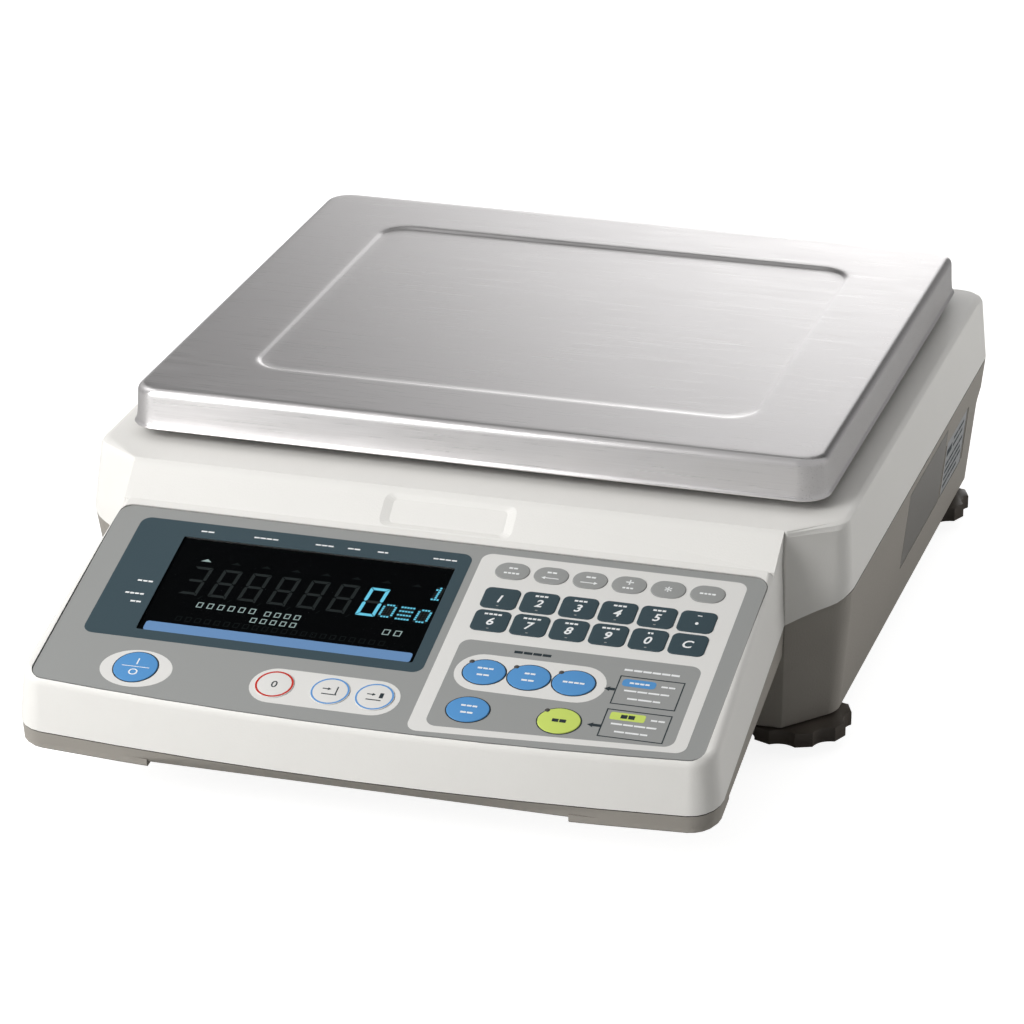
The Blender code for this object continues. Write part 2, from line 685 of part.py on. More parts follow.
def make_load_cell(look):
    """A single-point beam with the two joined bores that leave thin bending webs."""
    low, high = CELL_Z
    cell = box("load_cell", (-CELL_HALF_LENGTH, PAN_Y - CELL_HALF_WIDTH, low),
               (CELL_HALF_LENGTH, PAN_Y + CELL_HALF_WIDTH, high))
    middle = (low + high) / 2
    frame = Matrix.Translation((0, PAN_Y, middle)) @ Matrix.Rotation(math.pi / 2, 4, 'X')
    bores = prism("bore_a", ellipse(0.0125, 0.0125, 24, (-0.017, 0)), -0.03, 0.03, frame)
    fuse(bores, prism("bore_b", ellipse(0.0125, 0.0125, 24, (0.017, 0)), -0.03, 0.03, frame))
    fuse(bores, prism("slot", rounded_rectangle(0.020, 0.0055, 0.001, 2), -0.03, 0.03, frame))
    cut(cell, bores)
    for x in (-BOLT_X[1], -BOLT_X[0], BOLT_X[0], BOLT_X[1]):
        cut(cell, prism("bolt_hole", ellipse(BOLT_RADIUS + GAP, BOLT_RADIUS + GAP, 12, (x, PAN_Y)), 0.02, 0.08))
    return finish(cell, "load_cell", look)


def make_bolt(name, x, upright, look):
    """A cap screw; an upright one has its head on top of the cell, the other one below it."""
    head, shank, length = BOLT_HEAD_RADIUS, BOLT_RADIUS, CELL_Z[1] - CELL_Z[0] + 0.009
    levels = ((-length, shank), (0.0, shank), (0.0, head), (BOLT_HEAD_HEIGHT - 0.0006, head),
              (BOLT_HEAD_HEIGHT, head - 0.0006), (BOLT_HEAD_HEIGHT, 0.0022), (0.0025, 0.0022))
    rings = [[(px, py, z) for px, py in ellipse(r, r, 12)] for z, r in levels]
    if upright:
        frame = Matrix.Translation((x, PAN_Y, CELL_Z[1] + GAP))
    else:
        frame = Matrix.Translation((x, PAN_Y, CELL_Z[0] - GAP)) @ Matrix.Rotation(math.pi, 4, 'X')
    return finish(loft(name, rings, frame), name, look)


def make_bolts(look):
    make_bolt("cell_bolt_fixed_outer", -BOLT_X[1], True, look)
    make_bolt("cell_bolt_fixed_inner", -BOLT_X[0], True, look)
    make_bolt("cell_bolt_free_inner", BOLT_X[0], False, look)
    make_bolt("cell_bolt_free_outer", BOLT_X[1], False, look)


def make_chassis(look):
    """A cast plate with the load cell's riser and four threaded foot bosses."""
    low, high = CHASSIS_Z
    chassis = prism("chassis_plate", rounded_rectangle(0.100, 0.085, 0.010, 3, (0, PAN_Y)), low, high)
    for _, x, y in foot_places():
        start = (math.copysign(0.080, x), PAN_Y + math.copysign(0.060, y - PAN_Y))
        fuse(chassis, arm("arm", start, (x, y), 0.010, low + 0.0003, high - 0.0003))
        fuse(chassis, prism("boss", ellipse(0.0067, 0.0067, 16, (x, y)), *BOSS_Z))
    riser_x = -(BOLT_X[0] + BOLT_X[1]) / 2
    riser = prism("riser", rounded_rectangle(0.018, CELL_HALF_WIDTH, 0.002, 2, (riser_x, PAN_Y)),
                  low + 0.0010, CELL_Z[0] - GAP)
    fuse(chassis, riser)
    for _, x, y in foot_places():
        cut(chassis, prism("thread", ellipse(STEM_RADIUS + GAP, STEM_RADIUS + GAP, 12, (x, y)), 0.0, 0.050))
    for x in BOLT_X:
        cut(chassis, prism("bolt_hole", ellipse(BOLT_RADIUS + GAP, BOLT_RADIUS + GAP, 12, (-x, PAN_Y)), 0.0, 0.050))
    return finish(chassis, "chassis_plate", look)


def wheel_outline():
    """A hand wheel's rim: flat lobe ends with hollow scallops between them."""
    points = []
    pitch = 2 * math.pi / WHEEL_LOBES
    lobe = pitch * LOBE_SHARE
    scallop_steps = 4
    for index in range(WHEEL_LOBES):
        centre = index * pitch + pitch / 2
        for angle in (centre - lobe / 2, centre + lobe / 2):
            points.append((WHEEL_RADIUS * math.cos(angle), WHEEL_RADIUS * math.sin(angle)))
        for step in range(1, scallop_steps):
            share = step / scallop_steps
            angle = centre + lobe / 2 + (pitch - lobe) * share
            depth = SCALLOP_DEPTH * math.sin(math.pi * share) ** 0.7
            points.append(((WHEEL_RADIUS - depth) * math.cos(angle), (WHEEL_RADIUS - depth) * math.sin(angle)))
    return points


def make_foot_wheel(name, x, y, look):
    """A hand wheel with chamfered rims and the threaded stem that stands on it."""
    outline = wheel_outline()
    low, high = WHEEL_Z
    shrink = 1 - WHEEL_CHAMFER / WHEEL_RADIUS
    inner = [(px * shrink, py * shrink) for px, py in outline]
    levels = ((inner, low), (outline, low + WHEEL_CHAMFER), (outline, high - WHEEL_CHAMFER), (inner, high))
    frame = Matrix.Translation((x, y, 0))
    wheel = loft(name, [[(px, py, z) for px, py in ring] for ring, z in levels], frame)
    stem = prism("stem", ellipse(STEM_RADIUS, STEM_RADIUS, 12), high - 0.002, STEM_TOP_Z, frame)
    fuse(wheel, stem)
    return finish(wheel, name, look)


def make_foot_pad(name, x, y, look):
    top = WHEEL_Z[0] - GAP
    levels = ((0.0, PAD_RADIUS - 0.0008), (0.0008, PAD_RADIUS), (PAD_HEIGHT - 0.0006, PAD_RADIUS),
              (PAD_HEIGHT, PAD_RADIUS - 0.0010), (PAD_HEIGHT, 0.0062), (top, 0.0058))
    rings = [[(px, py, z) for px, py in ellipse(r, r, 16)] for z, r in levels]
    return finish(loft(name, rings, Matrix.Translation((x, y, 0))), name, look)


def make_feet(plastic, rubber):
    for place, x, y in foot_places():
        make_foot_wheel("foot_wheel_" + place, x, y, plastic)
        make_foot_pad("foot_pad_" + place, x, y, rubber)


def key_frame(u, v):
    return DECK_FRAME @ Matrix.Translation((u, v, 0))


def rectangular_keys():
    """Every straight-sided key as (name, u, v, size)."""
    keys = []
    for index, name in enumerate(("scale", "print", "total", "memory", "star", "reset")):
        keys.append(("key_" + name, FIELD_U + index * FIELD_PITCH, FUNCTION_V, FUNCTION_SIZE))
    for index, name in enumerate(("1", "2", "3", "4", "5", "point")):
        keys.append(("key_" + name, FIELD_U + index * FIELD_PITCH, FIRST_DIGIT_V, DIGIT_SIZE))
    for index, name in enumerate(("6", "7", "8", "9", "0", "clear")):
        keys.append(("key_" + name, FIELD_U + index * FIELD_PITCH, SECOND_DIGIT_V, DIGIT_SIZE))
    return keys


def oval_keys():
    """Every oval or round key as (name, u, v, width, depth)."""
    width, depth = OVAL_SIZE
    keys = [("key_recall", SAMPLE_U, SAMPLE_V, width, depth),
            ("key_enter", SAMPLE_U + SAMPLE_PITCH, SAMPLE_V, width, depth),
            ("key_sample", SAMPLE_U + 2 * SAMPLE_PITCH, SAMPLE_V, width, depth),
            ("key_unit_memory", SAMPLE_U, REGISTER_V, width, depth),
            ("key_register", REGISTER_U, REGISTER_V, width, depth),
            ("key_power", POWER_U, ROUND_V, POWER_DIAMETER, POWER_DIAMETER)]
    for name, u in (("key_zero", ZERO_U), ("key_tare_set", TARE_SET_U), ("key_tare", TARE_U)):
        keys.append((name, u, ROUND_V, ROUND_DIAMETER, ROUND_DIAMETER))
    return keys


def key_rings(outline_at):
    """Rings of one key: a retaining flange under the overlay and a raised cap with a rounded edge."""
    levels = ((KEY_BOTTOM_W, -KEY_FLANGE), (KEY_FLANGE_W, -KEY_FLANGE), (KEY_FLANGE_W, 0.0),
              (KEY_TOP_W - KEY_EDGE, 0.0), (KEY_TOP_W, KEY_EDGE))
    return [[(x, y, w) for x, y in outline_at(inset)] for w, inset in levels]


def make_keys(looks):
    for name, u, v, (width, depth, radius) in rectangular_keys():
        rings = key_rings(lambda inset: rounded_rectangle(width / 2 - inset, depth / 2 - inset, radius - inset, KEY_ARC))
        look = looks["function"] if depth == FUNCTION_SIZE[1] else looks["digit"]
        finish(loft(name, rings, key_frame(u, v)), name, look)
    special = {"key_register": "register", "key_zero": "round", "key_tare_set": "round", "key_tare": "round"}
    for name, u, v, width, depth in oval_keys():
        rings = key_rings(lambda inset: ellipse(width / 2 - inset, depth / 2 - inset, KEY_SIDES))
        finish(loft(name, rings, key_frame(u, v)), name, looks[special.get(name, "blue")])


def key_openings():
    """One mesh that holds the separate cutters of all the key openings."""
    shape = bmesh.new()
    outlines = []
    for _, u, v, (width, depth, radius) in rectangular_keys():
        grow = KEY_CLEARANCE
        outlines.append(rounded_rectangle(width / 2 + grow, depth / 2 + grow, radius + grow, KEY_ARC, (u, v)))
    for _, u, v, width, depth in oval_keys():
        outlines.append(ellipse(width / 2 + KEY_CLEARANCE, depth / 2 + KEY_CLEARANCE, KEY_SIDES, (u, v)))
    for outline in outlines:
        face = shape.faces.new([shape.verts.new((u, v, -0.004)) for u, v in outline])
        raised = bmesh.ops.extrude_face_region(shape, geom=[face])
        verts = [item for item in raised["geom"] if isinstance(item, bmesh.types.BMVert)]
        bmesh.ops.translate(shape, verts=verts, vec=(0, 0, 0.008))
    return make_object("key_openings", mesh_from_bmesh("key_openings", shape), DECK_FRAME)


def make_overlay(look):
    overlay = prism("keypad_overlay", overlay_outline(), -OVERLAY_THICKNESS, 0.0, DECK_FRAME)
    cut(overlay, key_openings(), prism("window", window_outline(0.0), -0.004, 0.004, DECK_FRAME))
    return finish(overlay, "keypad_overlay", look)


def make_lens(look):
    lens = prism("display_lens", window_outline(GAP), -OVERLAY_THICKNESS, -0.0003, DECK_FRAME)
    return finish(lens, "display_lens", look)


def make_display_tube(look):
    inset = WINDOW_LEDGE + 0.0005
    tube = prism("display_tube", window_outline(inset), -0.0090, -0.0015, DECK_FRAME)
    return finish(tube, "display_tube", look)


def make_key_board(look):
    """The board behind the keys, a little smaller all round than its opening in the deck."""
    inwards = ((1, -1), (1, -1), (1, -1), (1, 1), (-1, 1), (-1, -1))
    outline = [(u + BOARD_MARGIN * side_u, v + BOARD_MARGIN * side_v)
               for (u, v), (side_u, side_v) in zip(BOARD_OPENING, inwards)]
    board = prism("key_board", outline, BOARD_TOP_W - BOARD_THICKNESS, BOARD_TOP_W, DECK_FRAME)
    return finish(board, "key_board", look)


def make_main_board(look):
    """The main board under the deck, with its controller chip and a cable header."""
    face = MAIN_BOARD_W + BOARD_THICKNESS
    sunk = face - 0.0002
    board = box("main_board", (-0.110, -0.092, MAIN_BOARD_W), (0.110, -0.008, face), DECK_FRAME)
    chip = box("chip", (-0.020, -0.060, sunk), (0.004, -0.036, face + 0.0022), DECK_FRAME)
    header = box("header", (0.060, -0.080, sunk), (0.092, -0.073, face + 0.0050), DECK_FRAME)
    fuse(board, chip, header)
    return finish(board, "main_board", look)


def make_transformer(look):
    """A small mains transformer: a laminated core, the winding round it and a mounting foot."""
    core = box("power_transformer", (-0.122, 0.128, 0.0230), (-0.070, 0.172, 0.0600))
    winding = prism("winding", rounded_rectangle(0.020, 0.029, 0.004, 3, (-0.096, 0.150)), 0.0290, 0.0540)
    foot = box("foot", (-0.132, 0.138, 0.0206), (-0.060, 0.162, 0.0236))
    fuse(core, winding, foot)
    return finish(core, "power_transformer", look)


def make_inlet(look):
    """A mains inlet: a flange outside the rear wall and a socket body through it."""
    y = REAR_WALL_Y
    inlet = box("power_inlet", (INLET_X - 0.0175, y + GAP, FITTING_Z - 0.0135),
                (INLET_X + 0.0175, y + 0.0024, FITTING_Z + 0.0135))
    fuse(inlet, box("body", (INLET_X - 0.0140, y - 0.022, FITTING_Z - 0.0100),
                    (INLET_X + 0.0140, y + 0.0010, FITTING_Z + 0.0100)))
    cut(inlet, box("socket", (INLET_X - 0.0120, y - 0.014, FITTING_Z - 0.0080),
                   (INLET_X + 0.0120, y + 0.010, FITTING_Z + 0.0080)))
    for x, z in ((-0.007, -0.002), (0.0, 0.003), (0.007, -0.002)):
        fuse(inlet, box("pin", (INLET_X + x - 0.0010, y - 0.0155, FITTING_Z + z - 0.0022),
                        (INLET_X + x + 0.0010, y - 0.0020, FITTING_Z + z + 0.0022)))
    return finish(inlet, "power_inlet", look)


def make_serial_port(look):
    """A serial socket: a flange outside the rear wall, a shell and a body inside."""
    y = REAR_WALL_Y
    port = box("serial_port", (SERIAL_X - 0.0155, y + GAP, FITTING_Z - 0.0062),
               (SERIAL_X + 0.0155, y + 0.0013, FITTING_Z + 0.0062))
    fuse(port, box("body", (SERIAL_X - 0.0090, y - 0.010, FITTING_Z - 0.0045),
                   (SERIAL_X + 0.0090, y + 0.0010, FITTING_Z + 0.0045)))
    shell_frame = Matrix.Translation((SERIAL_X, y, FITTING_Z)) @ Matrix.Rotation(-math.pi / 2, 4, 'X')
    shell_outline = ((-0.0085, -0.0042), (0.0085, -0.0042), (0.0078, 0.0042), (-0.0078, 0.0042))
    fuse(port, prism("shell", shell_outline, 0.0005, 0.0065, shell_frame))
    hollow = tuple((x * 0.90, z * 0.85) for x, z in shell_outline)
    cut(port, prism("hollow", hollow, 0.0020, 0.0100, shell_frame))
    return finish(port, "serial_port", look)


def make_side_cover(look):
    return finish(wall_box("side_cover", SIDE_COVER_Y, SIDE_COVER_Z, 0.0, -0.0010, 0.0), "side_cover", look)


def make_label(look):
    return finish(wall_box("rating_label", LABEL_Y, LABEL_Z, 0.0, -0.0004, -0.0001), "rating_label", look)


def make_level_vial(look):
    """A round spirit level with a flange on the plateau and a domed glass."""
    z = PLATEAU_Z
    radius = VIAL_RADIUS
    levels = ((z - 0.0070, radius - 0.001), (z - 0.0062, radius), (z + GAP, radius), (z + GAP, radius + 0.002),
              (z + 0.0011, radius + 0.002), (z + 0.0013, radius - 0.0006), (z + 0.0017, radius - 0.0022),
              (z + 0.0019, radius - 0.0045))
    rings = [[(px, py, height) for px, py in ellipse(r, r, 18)] for height, r in levels]
    frame = Matrix.Translation((VIAL_AT[0], VIAL_AT[1], 0))
    return finish(loft("level_vial", rings, frame), "level_vial", look)


def build():
    clear_scene()
    case_white = material("case_white", (0.78, 0.77, 0.73), 0.55)
    case_gray = material("case_gray", (0.36, 0.34, 0.32), 0.55)
    steel = material("brushed_steel", (0.62, 0.60, 0.58), 0.32, 1.0)
    cast = material("cast_aluminium", (0.55, 0.56, 0.57), 0.5, 1.0)
    rubber = material("black_rubber", (0.03, 0.03, 0.03), 0.8)
    wheel_brown = material("wheel_brown", (0.075, 0.06, 0.05), 0.5)
    panel_gray = material("panel_gray", (0.33, 0.33, 0.32), 0.5)
    board_green = material("board_green", (0.03, 0.18, 0.08), 0.5)
    dark_plastic = material("dark_plastic", (0.02, 0.02, 0.022), 0.4)
    cover_gray = material("cover_gray", (0.30, 0.29, 0.28), 0.3)
    label_silver = material("label_silver", (0.50, 0.51, 0.53), 0.35)
    looks = {"digit": material("digit_teal", (0.045, 0.085, 0.105), 0.45),
             "function": material("function_gray", (0.30, 0.30, 0.29), 0.45),
             "blue": material("key_blue", (0.10, 0.32, 0.65), 0.4),
             "register": material("key_lime", (0.55, 0.72, 0.12), 0.4),
             "round": material("key_pale", (0.72, 0.71, 0.69), 0.45)}
    make_top_case(case_white)
    make_bottom_case(case_gray)
    make_pan(steel)
    make_pan_support(cast)
    make_cushions(rubber)
    make_load_cell(cast)
    make_bolts(steel)
    make_chassis(cast)
    make_feet(wheel_brown, rubber)
    make_overlay(panel_gray)
    make_lens(dark_plastic)
    make_display_tube(dark_plastic)
    make_key_board(board_green)
    make_main_board(board_green)
    make_transformer(dark_plastic)
    make_inlet(dark_plastic)
    make_serial_port(cast)
    make_side_cover(cover_gray)
    make_label(label_silver)
    make_level_vial(label_silver)
    make_keys(looks)


build()
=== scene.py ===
"""Looks of the counting scale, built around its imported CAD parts.

World frame: metres, +X to the user's right, +Y away from the user, +Z up.
The deck frame lies on the keypad: u runs right, v runs up the slope, w stands square to it.
"""

import math

import bmesh
import bpy
from mathutils import Matrix, Vector


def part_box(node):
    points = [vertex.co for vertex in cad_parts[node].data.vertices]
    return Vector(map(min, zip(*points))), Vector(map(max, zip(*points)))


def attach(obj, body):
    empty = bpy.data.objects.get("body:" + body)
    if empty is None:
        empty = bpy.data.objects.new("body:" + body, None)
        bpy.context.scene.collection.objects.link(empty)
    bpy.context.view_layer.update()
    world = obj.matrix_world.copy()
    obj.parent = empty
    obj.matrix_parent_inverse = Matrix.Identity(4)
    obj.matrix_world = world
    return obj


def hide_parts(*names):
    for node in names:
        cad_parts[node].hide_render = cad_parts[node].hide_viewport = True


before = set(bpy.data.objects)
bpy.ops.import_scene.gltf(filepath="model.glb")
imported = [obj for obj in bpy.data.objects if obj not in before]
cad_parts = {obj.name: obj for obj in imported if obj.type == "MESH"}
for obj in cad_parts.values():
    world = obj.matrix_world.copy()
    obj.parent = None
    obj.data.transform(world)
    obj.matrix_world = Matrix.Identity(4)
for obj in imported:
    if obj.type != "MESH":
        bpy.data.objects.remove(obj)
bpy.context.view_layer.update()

MM = 0.001
DECK_ANGLE = math.radians(16.0)
DECK_ORIGIN = (0.0, -0.1026, 0.0863)
DECK_FRAME = Matrix.Translation(DECK_ORIGIN) @ Matrix.Rotation(DECK_ANGLE, 4, 'X')

# Heights above the overlay, in millimetres
PRINT_LOW = 0.03
PRINT_MIDDLE = 0.05
PRINT_HIGH = 0.07
KEY_TOP = 0.42
KEY_FOOT = -0.9
LENS_TOP = -0.3
FIELD_LEVEL = -1.05
GLOW_LEVEL = -0.98

PAN_Y = 73.0
PAN_TOP = 122.0
PAN_HALF = (150.0, 135.0)
PAN_RECESS_HALF = (111.0, 96.5)
PAN_CORNER = 11.5
PAN_LIP = 104.6


# Materials

NOISE_SPAN = (0.3, 0.7)
BROAD_SCALE = 14.0
GRAIN_DETAIL = 2.0
BUMP_DISTANCE = 0.2 * MM
# Painted shade in narrow gaps: ambient occlusion mixes a near-black into the case colours
CREVICE_REACH = 2.2 * MM
CREVICE_SAMPLES = 3
CREVICE_SPAN = (0.18, 0.52)
CREVICE_REST = 0.02
CREVICE_SHADE_COLOUR = (0.006, 0.006, 0.006, 1)
BRUSH_CROSS = (0.0, -0.5, 0.87)
BRUSH_STRENGTH = 0.75
BRUSH_TURN = 0.25
GLOW_BASE = (0.02, 0.03, 0.03, 1)
GLOW_ROUGHNESS = 0.4
GLOW_PATCH_SCALE = 900.0
GLASS_ROUGHNESS = 0.06
GLASS_SHINE = 0.3
GLASS_PATCH_SCALE = 30.0
GLASS_SPREAD = 0.05


def node_material(name):
    made = bpy.data.materials.new(name)
    made.use_nodes = True
    return made, made.node_tree.nodes, made.node_tree.links


def noise(nodes, links, scale, detail, stretch=(1.0, 1.0, 1.0)):
    """Noise in the object's own coordinates, stretched along the axes."""
    place = nodes.new("ShaderNodeTexCoord")
    mapping = nodes.new("ShaderNodeMapping")
    mapping.inputs["Scale"].default_value = stretch
    texture = nodes.new("ShaderNodeTexNoise")
    texture.inputs["Scale"].default_value = scale
    texture.inputs["Detail"].default_value = detail
    links.new(place.outputs["Object"], mapping.inputs["Vector"])
    links.new(mapping.outputs["Vector"], texture.inputs["Vector"])
    return texture.outputs["Fac"]


def remap(nodes, links, value, low, high):
    """A noise value spread over the range from low to high."""
    ramp = nodes.new("ShaderNodeMapRange")
    ramp.inputs["From Min"].default_value = NOISE_SPAN[0]
    ramp.inputs["From Max"].default_value = NOISE_SPAN[1]
    ramp.inputs["To Min"].default_value = low
    ramp.inputs["To Max"].default_value = high
    links.new(value, ramp.inputs["Value"])
    return ramp.outputs["Result"]


def slope(nodes, links, value, from_low, from_high, to_low, to_high):
    """A value mapped from one range to another and held at the ends."""
    ramp = nodes.new("ShaderNodeMapRange")
    ramp.interpolation_type = 'SMOOTHSTEP'
    ramp.inputs["From Min"].default_value = from_low
    ramp.inputs["From Max"].default_value = from_high
    ramp.inputs["To Min"].default_value = to_low
    ramp.inputs["To Max"].default_value = to_high
    links.new(value, ramp.inputs["Value"])
    return ramp.outputs["Result"]


def node_math(nodes, links, operation, value, *others):
    """One calculation node with a linked first number and fixed others."""
    made = nodes.new("ShaderNodeMath")
    made.operation = operation
    links.new(value, made.inputs[0])
    for socket, other in zip(list(made.inputs)[1:], others):
        socket.default_value = other
    return made.outputs["Value"]

def product(nodes, links, first, second):
    """Two linked numbers multiplied."""
    made = nodes.new("ShaderNodeMath")
    made.operation = 'MULTIPLY'
    links.new(first, made.inputs[0])
    links.new(second, made.inputs[1])
    return made.outputs["Value"]


def tint(nodes, links, colour, value, spread):
    """The colour, made a little darker and lighter by a noise value."""
    mix = nodes.new("ShaderNodeMix")
    mix.data_type = 'RGBA'
    mix.inputs["A"].default_value = (*[channel * (1 - spread) for channel in colour], 1)
    mix.inputs["B"].default_value = (*[min(1.0, channel * (1 + spread)) for channel in colour], 1)
    links.new(value, mix.inputs["Factor"])
    return mix.outputs["Result"]


def textured(name, colour, roughness, metallic=0.0, grain=1400.0, bump=0.05, spread=0.03,
             stretch=(1.0, 1.0, 1.0), rough_spread=0.05, coat=0.0, shine=0.5):
    """A surface with a fine grain that moves its colour, roughness and height."""
    made, nodes, links = node_material(name)
    shader = nodes["Principled BSDF"]
    shader.inputs["Metallic"].default_value = metallic
    shader.inputs["Coat Weight"].default_value = coat
    shader.inputs["Specular IOR Level"].default_value = shine
    fine = noise(nodes, links, grain, GRAIN_DETAIL, stretch)
    broad = noise(nodes, links, BROAD_SCALE, GRAIN_DETAIL)
    pattern = fine if metallic else broad
    links.new(tint(nodes, links, colour, pattern, spread), shader.inputs["Base Color"])
    rough = remap(nodes, links, fine, roughness - rough_spread, roughness + rough_spread)
    links.new(rough, shader.inputs["Roughness"])
    height = nodes.new("ShaderNodeBump")
    height.inputs["Strength"].default_value = bump
    height.inputs["Distance"].default_value = BUMP_DISTANCE
    links.new(fine, height.inputs["Height"])
    links.new(height.outputs["Normal"], shader.inputs["Normal"])
    return made


def painted_crevice_shade(made):
    """Painted shade in narrow gaps, such as the seam between the case halves: ambient occlusion darkens
    the colour.
    """
    nodes, links = made.node_tree.nodes, made.node_tree.links
    base = nodes["Principled BSDF"].inputs["Base Color"]
    shade = nodes.new("ShaderNodeAmbientOcclusion")
    shade.samples = CREVICE_SAMPLES
    shade.inputs["Distance"].default_value = CREVICE_REACH
    open_share = slope(nodes, links, shade.outputs["AO"], *CREVICE_SPAN, CREVICE_REST, 1.0)
    mix = nodes.new("ShaderNodeMix")
    mix.data_type = 'RGBA'
    mix.inputs["A"].default_value = CREVICE_SHADE_COLOUR
    links.new(open_share, mix.inputs["Factor"])
    links.new(base.links[0].from_socket, mix.inputs["B"])
    links.new(mix.outputs["Result"], base)
    return made


def brushed(made):
    """Highlights drawn out square to brush lines that run level round the sheet."""
    nodes, links = made.node_tree.nodes, made.node_tree.links
    surface = nodes.new("ShaderNodeNewGeometry")
    cross = nodes.new("ShaderNodeVectorMath")
    cross.operation = 'CROSS_PRODUCT'
    cross.inputs[1].default_value = BRUSH_CROSS
    links.new(surface.outputs["Normal"], cross.inputs[0])
    shader = nodes["Principled BSDF"]
    links.new(cross.outputs["Vector"], shader.inputs["Tangent"])
    shader.inputs["Anisotropic"].default_value = BRUSH_STRENGTH
    shader.inputs["Anisotropic Rotation"].default_value = BRUSH_TURN
    return made


def glowing(name, colour, strength, spread=0.12):
    """A lit display surface."""
    made, nodes, links = node_material(name)
    shader = nodes["Principled BSDF"]
    patch = noise(nodes, links, GLOW_PATCH_SCALE, 1.0)
    links.new(tint(nodes, links, colour, patch, spread), shader.inputs["Emission Color"])
    shader.inputs["Emission Strength"].default_value = strength
    shader.inputs["Base Color"].default_value = GLOW_BASE
    shader.inputs["Roughness"].default_value = GLOW_ROUGHNESS
    return made


def clear_glass(name, colour, opacity):
    made, nodes, links = node_material(name)
    shader = nodes["Principled BSDF"]
    patch = noise(nodes, links, GLASS_PATCH_SCALE, 1.0)
    links.new(tint(nodes, links, colour, patch, GLASS_SPREAD), shader.inputs["Base Color"])
    shader.inputs["Roughness"].default_value = GLASS_ROUGHNESS
    shader.inputs["Specular IOR Level"].default_value = GLASS_SHINE
    shader.inputs["Alpha"].default_value = opacity
    return made


# Name, colour and colour spread of the printed film, the keys and the inks
FILM_COLOURS = (
    ("film_gray", (0.325, 0.330, 0.322), 0.02), ("film_teal", (0.044, 0.074, 0.090), 0.04),
    ("film_pale", (0.760, 0.750, 0.725), 0.02), ("key_gray", (0.325, 0.330, 0.322), 0.02),
    ("key_teal", (0.042, 0.070, 0.084), 0.04), ("key_blue", (0.092, 0.300, 0.620), 0.03),
    ("key_lime", (0.600, 0.730, 0.150), 0.03), ("ink_white", (0.86, 0.87, 0.87), 0.02),
    ("ink_dark", (0.025, 0.036, 0.042), 0.05), ("ink_red", (0.56, 0.030, 0.018), 0.04),
    ("ink_blue", (0.12, 0.32, 0.66), 0.04), ("lamp_dark", (0.075, 0.070, 0.065), 0.08),
    ("strip_blue", (0.135, 0.270, 0.500), 0.03))


FILM_ROUGHNESS = 0.45
FILM_GRAIN = {"grain": 1800, "bump": 0.04, "shine": 0.25}
DARK_GRAIN = {"grain": 900, "bump": 0.0, "shine": 0.0}

# Key: material name, colour, roughness and what differs from the defaults of textured()
SURFACES = {
    "case_white": ("case_white", (0.86, 0.845, 0.81), 0.50, {"grain": 1300, "bump": 0.30, "spread": 0.02}),
    "case_gray": ("case_gray", (0.36, 0.335, 0.300), 0.52, {"grain": 1300, "bump": 0.35, "spread": 0.04}),
    "steel": ("pan_steel", (0.785, 0.765, 0.765), 0.32,
              {"metallic": 1.0, "grain": 1.0, "bump": 0.025, "spread": 0.07,
               "stretch": (30.0, 3400.0, 3400.0), "rough_spread": 0.05}),
    "bolt": ("bolt_steel", (0.60, 0.60, 0.61), 0.35,
             {"metallic": 1.0, "grain": 700.0, "bump": 0.05, "spread": 0.06}),
    "cast": ("cast_metal", (0.62, 0.63, 0.64), 0.5,
             {"metallic": 1.0, "grain": 500.0, "bump": 0.30, "spread": 0.08}),
    "rubber": ("soft_rubber", (0.020, 0.020, 0.020), 0.8,
               {"grain": 900, "bump": 0.15, "spread": 0.15, "shine": 0.2}),
    "wheel": ("wheel_plastic", (0.075, 0.062, 0.050), 0.50, {"grain": 900, "bump": 0.10, "spread": 0.12}),
    "tube_black": ("tube_black", (0.0025, 0.0028, 0.003), 0.6, {"spread": 0.2, **DARK_GRAIN}),
    "ghost": ("ghost_segment", (0.030, 0.036, 0.036), 0.6, {"spread": 0.15, **DARK_GRAIN}),
    "ghost_dim": ("ghost_dim", (0.011, 0.014, 0.014), 0.6, {"spread": 0.15, **DARK_GRAIN}),
    "board": ("board_green", (0.022, 0.16, 0.07), 0.35, {"grain": 300, "bump": 0.10, "spread": 0.25}),
    "dark_plastic": ("dark_plastic", (0.022, 0.022, 0.024), 0.38,
                     {"grain": 900, "bump": 0.08, "spread": 0.12}),
    "cover": ("cover_gray", (0.215, 0.205, 0.19), 0.30,
              {"grain": 900, "bump": 0.01, "spread": 0.03, "rough_spread": 0.02}),
    "label": ("label_foil", (0.45, 0.46, 0.475), 0.35,
              {"metallic": 0.3, "grain": 1200, "bump": 0.03, "spread": 0.03}),
    "vial": ("vial_green", (0.35, 0.62, 0.12), 0.10,
             {"grain": 200, "bump": 0.01, "spread": 0.06, "coat": 1.0})}


def make_looks():
    looks = {}
    for key, (name, colour, roughness, options) in SURFACES.items():
        looks[key] = textured(name, colour, roughness, **options)
    for name, colour, spread in FILM_COLOURS:
        looks[name] = textured(name, colour, FILM_ROUGHNESS, spread=spread, **FILM_GRAIN)
    brushed(looks["steel"])
    # Painted shade in the case's seams and narrow gaps
    painted_crevice_shade(looks["case_white"])
    painted_crevice_shade(looks["case_gray"])
    looks["lit"] = glowing("lit_segment", (0.15, 0.68, 0.95), 1.0)
    looks["lit_pale"] = glowing("lit_pale", (0.42, 0.55, 0.53), 0.85)
    looks["lens"] = clear_glass("lens_glass", (0.004, 0.005, 0.006), 0.10)
    return looks


LOOKS = make_looks()


# Shapes, with their lengths in millimetres

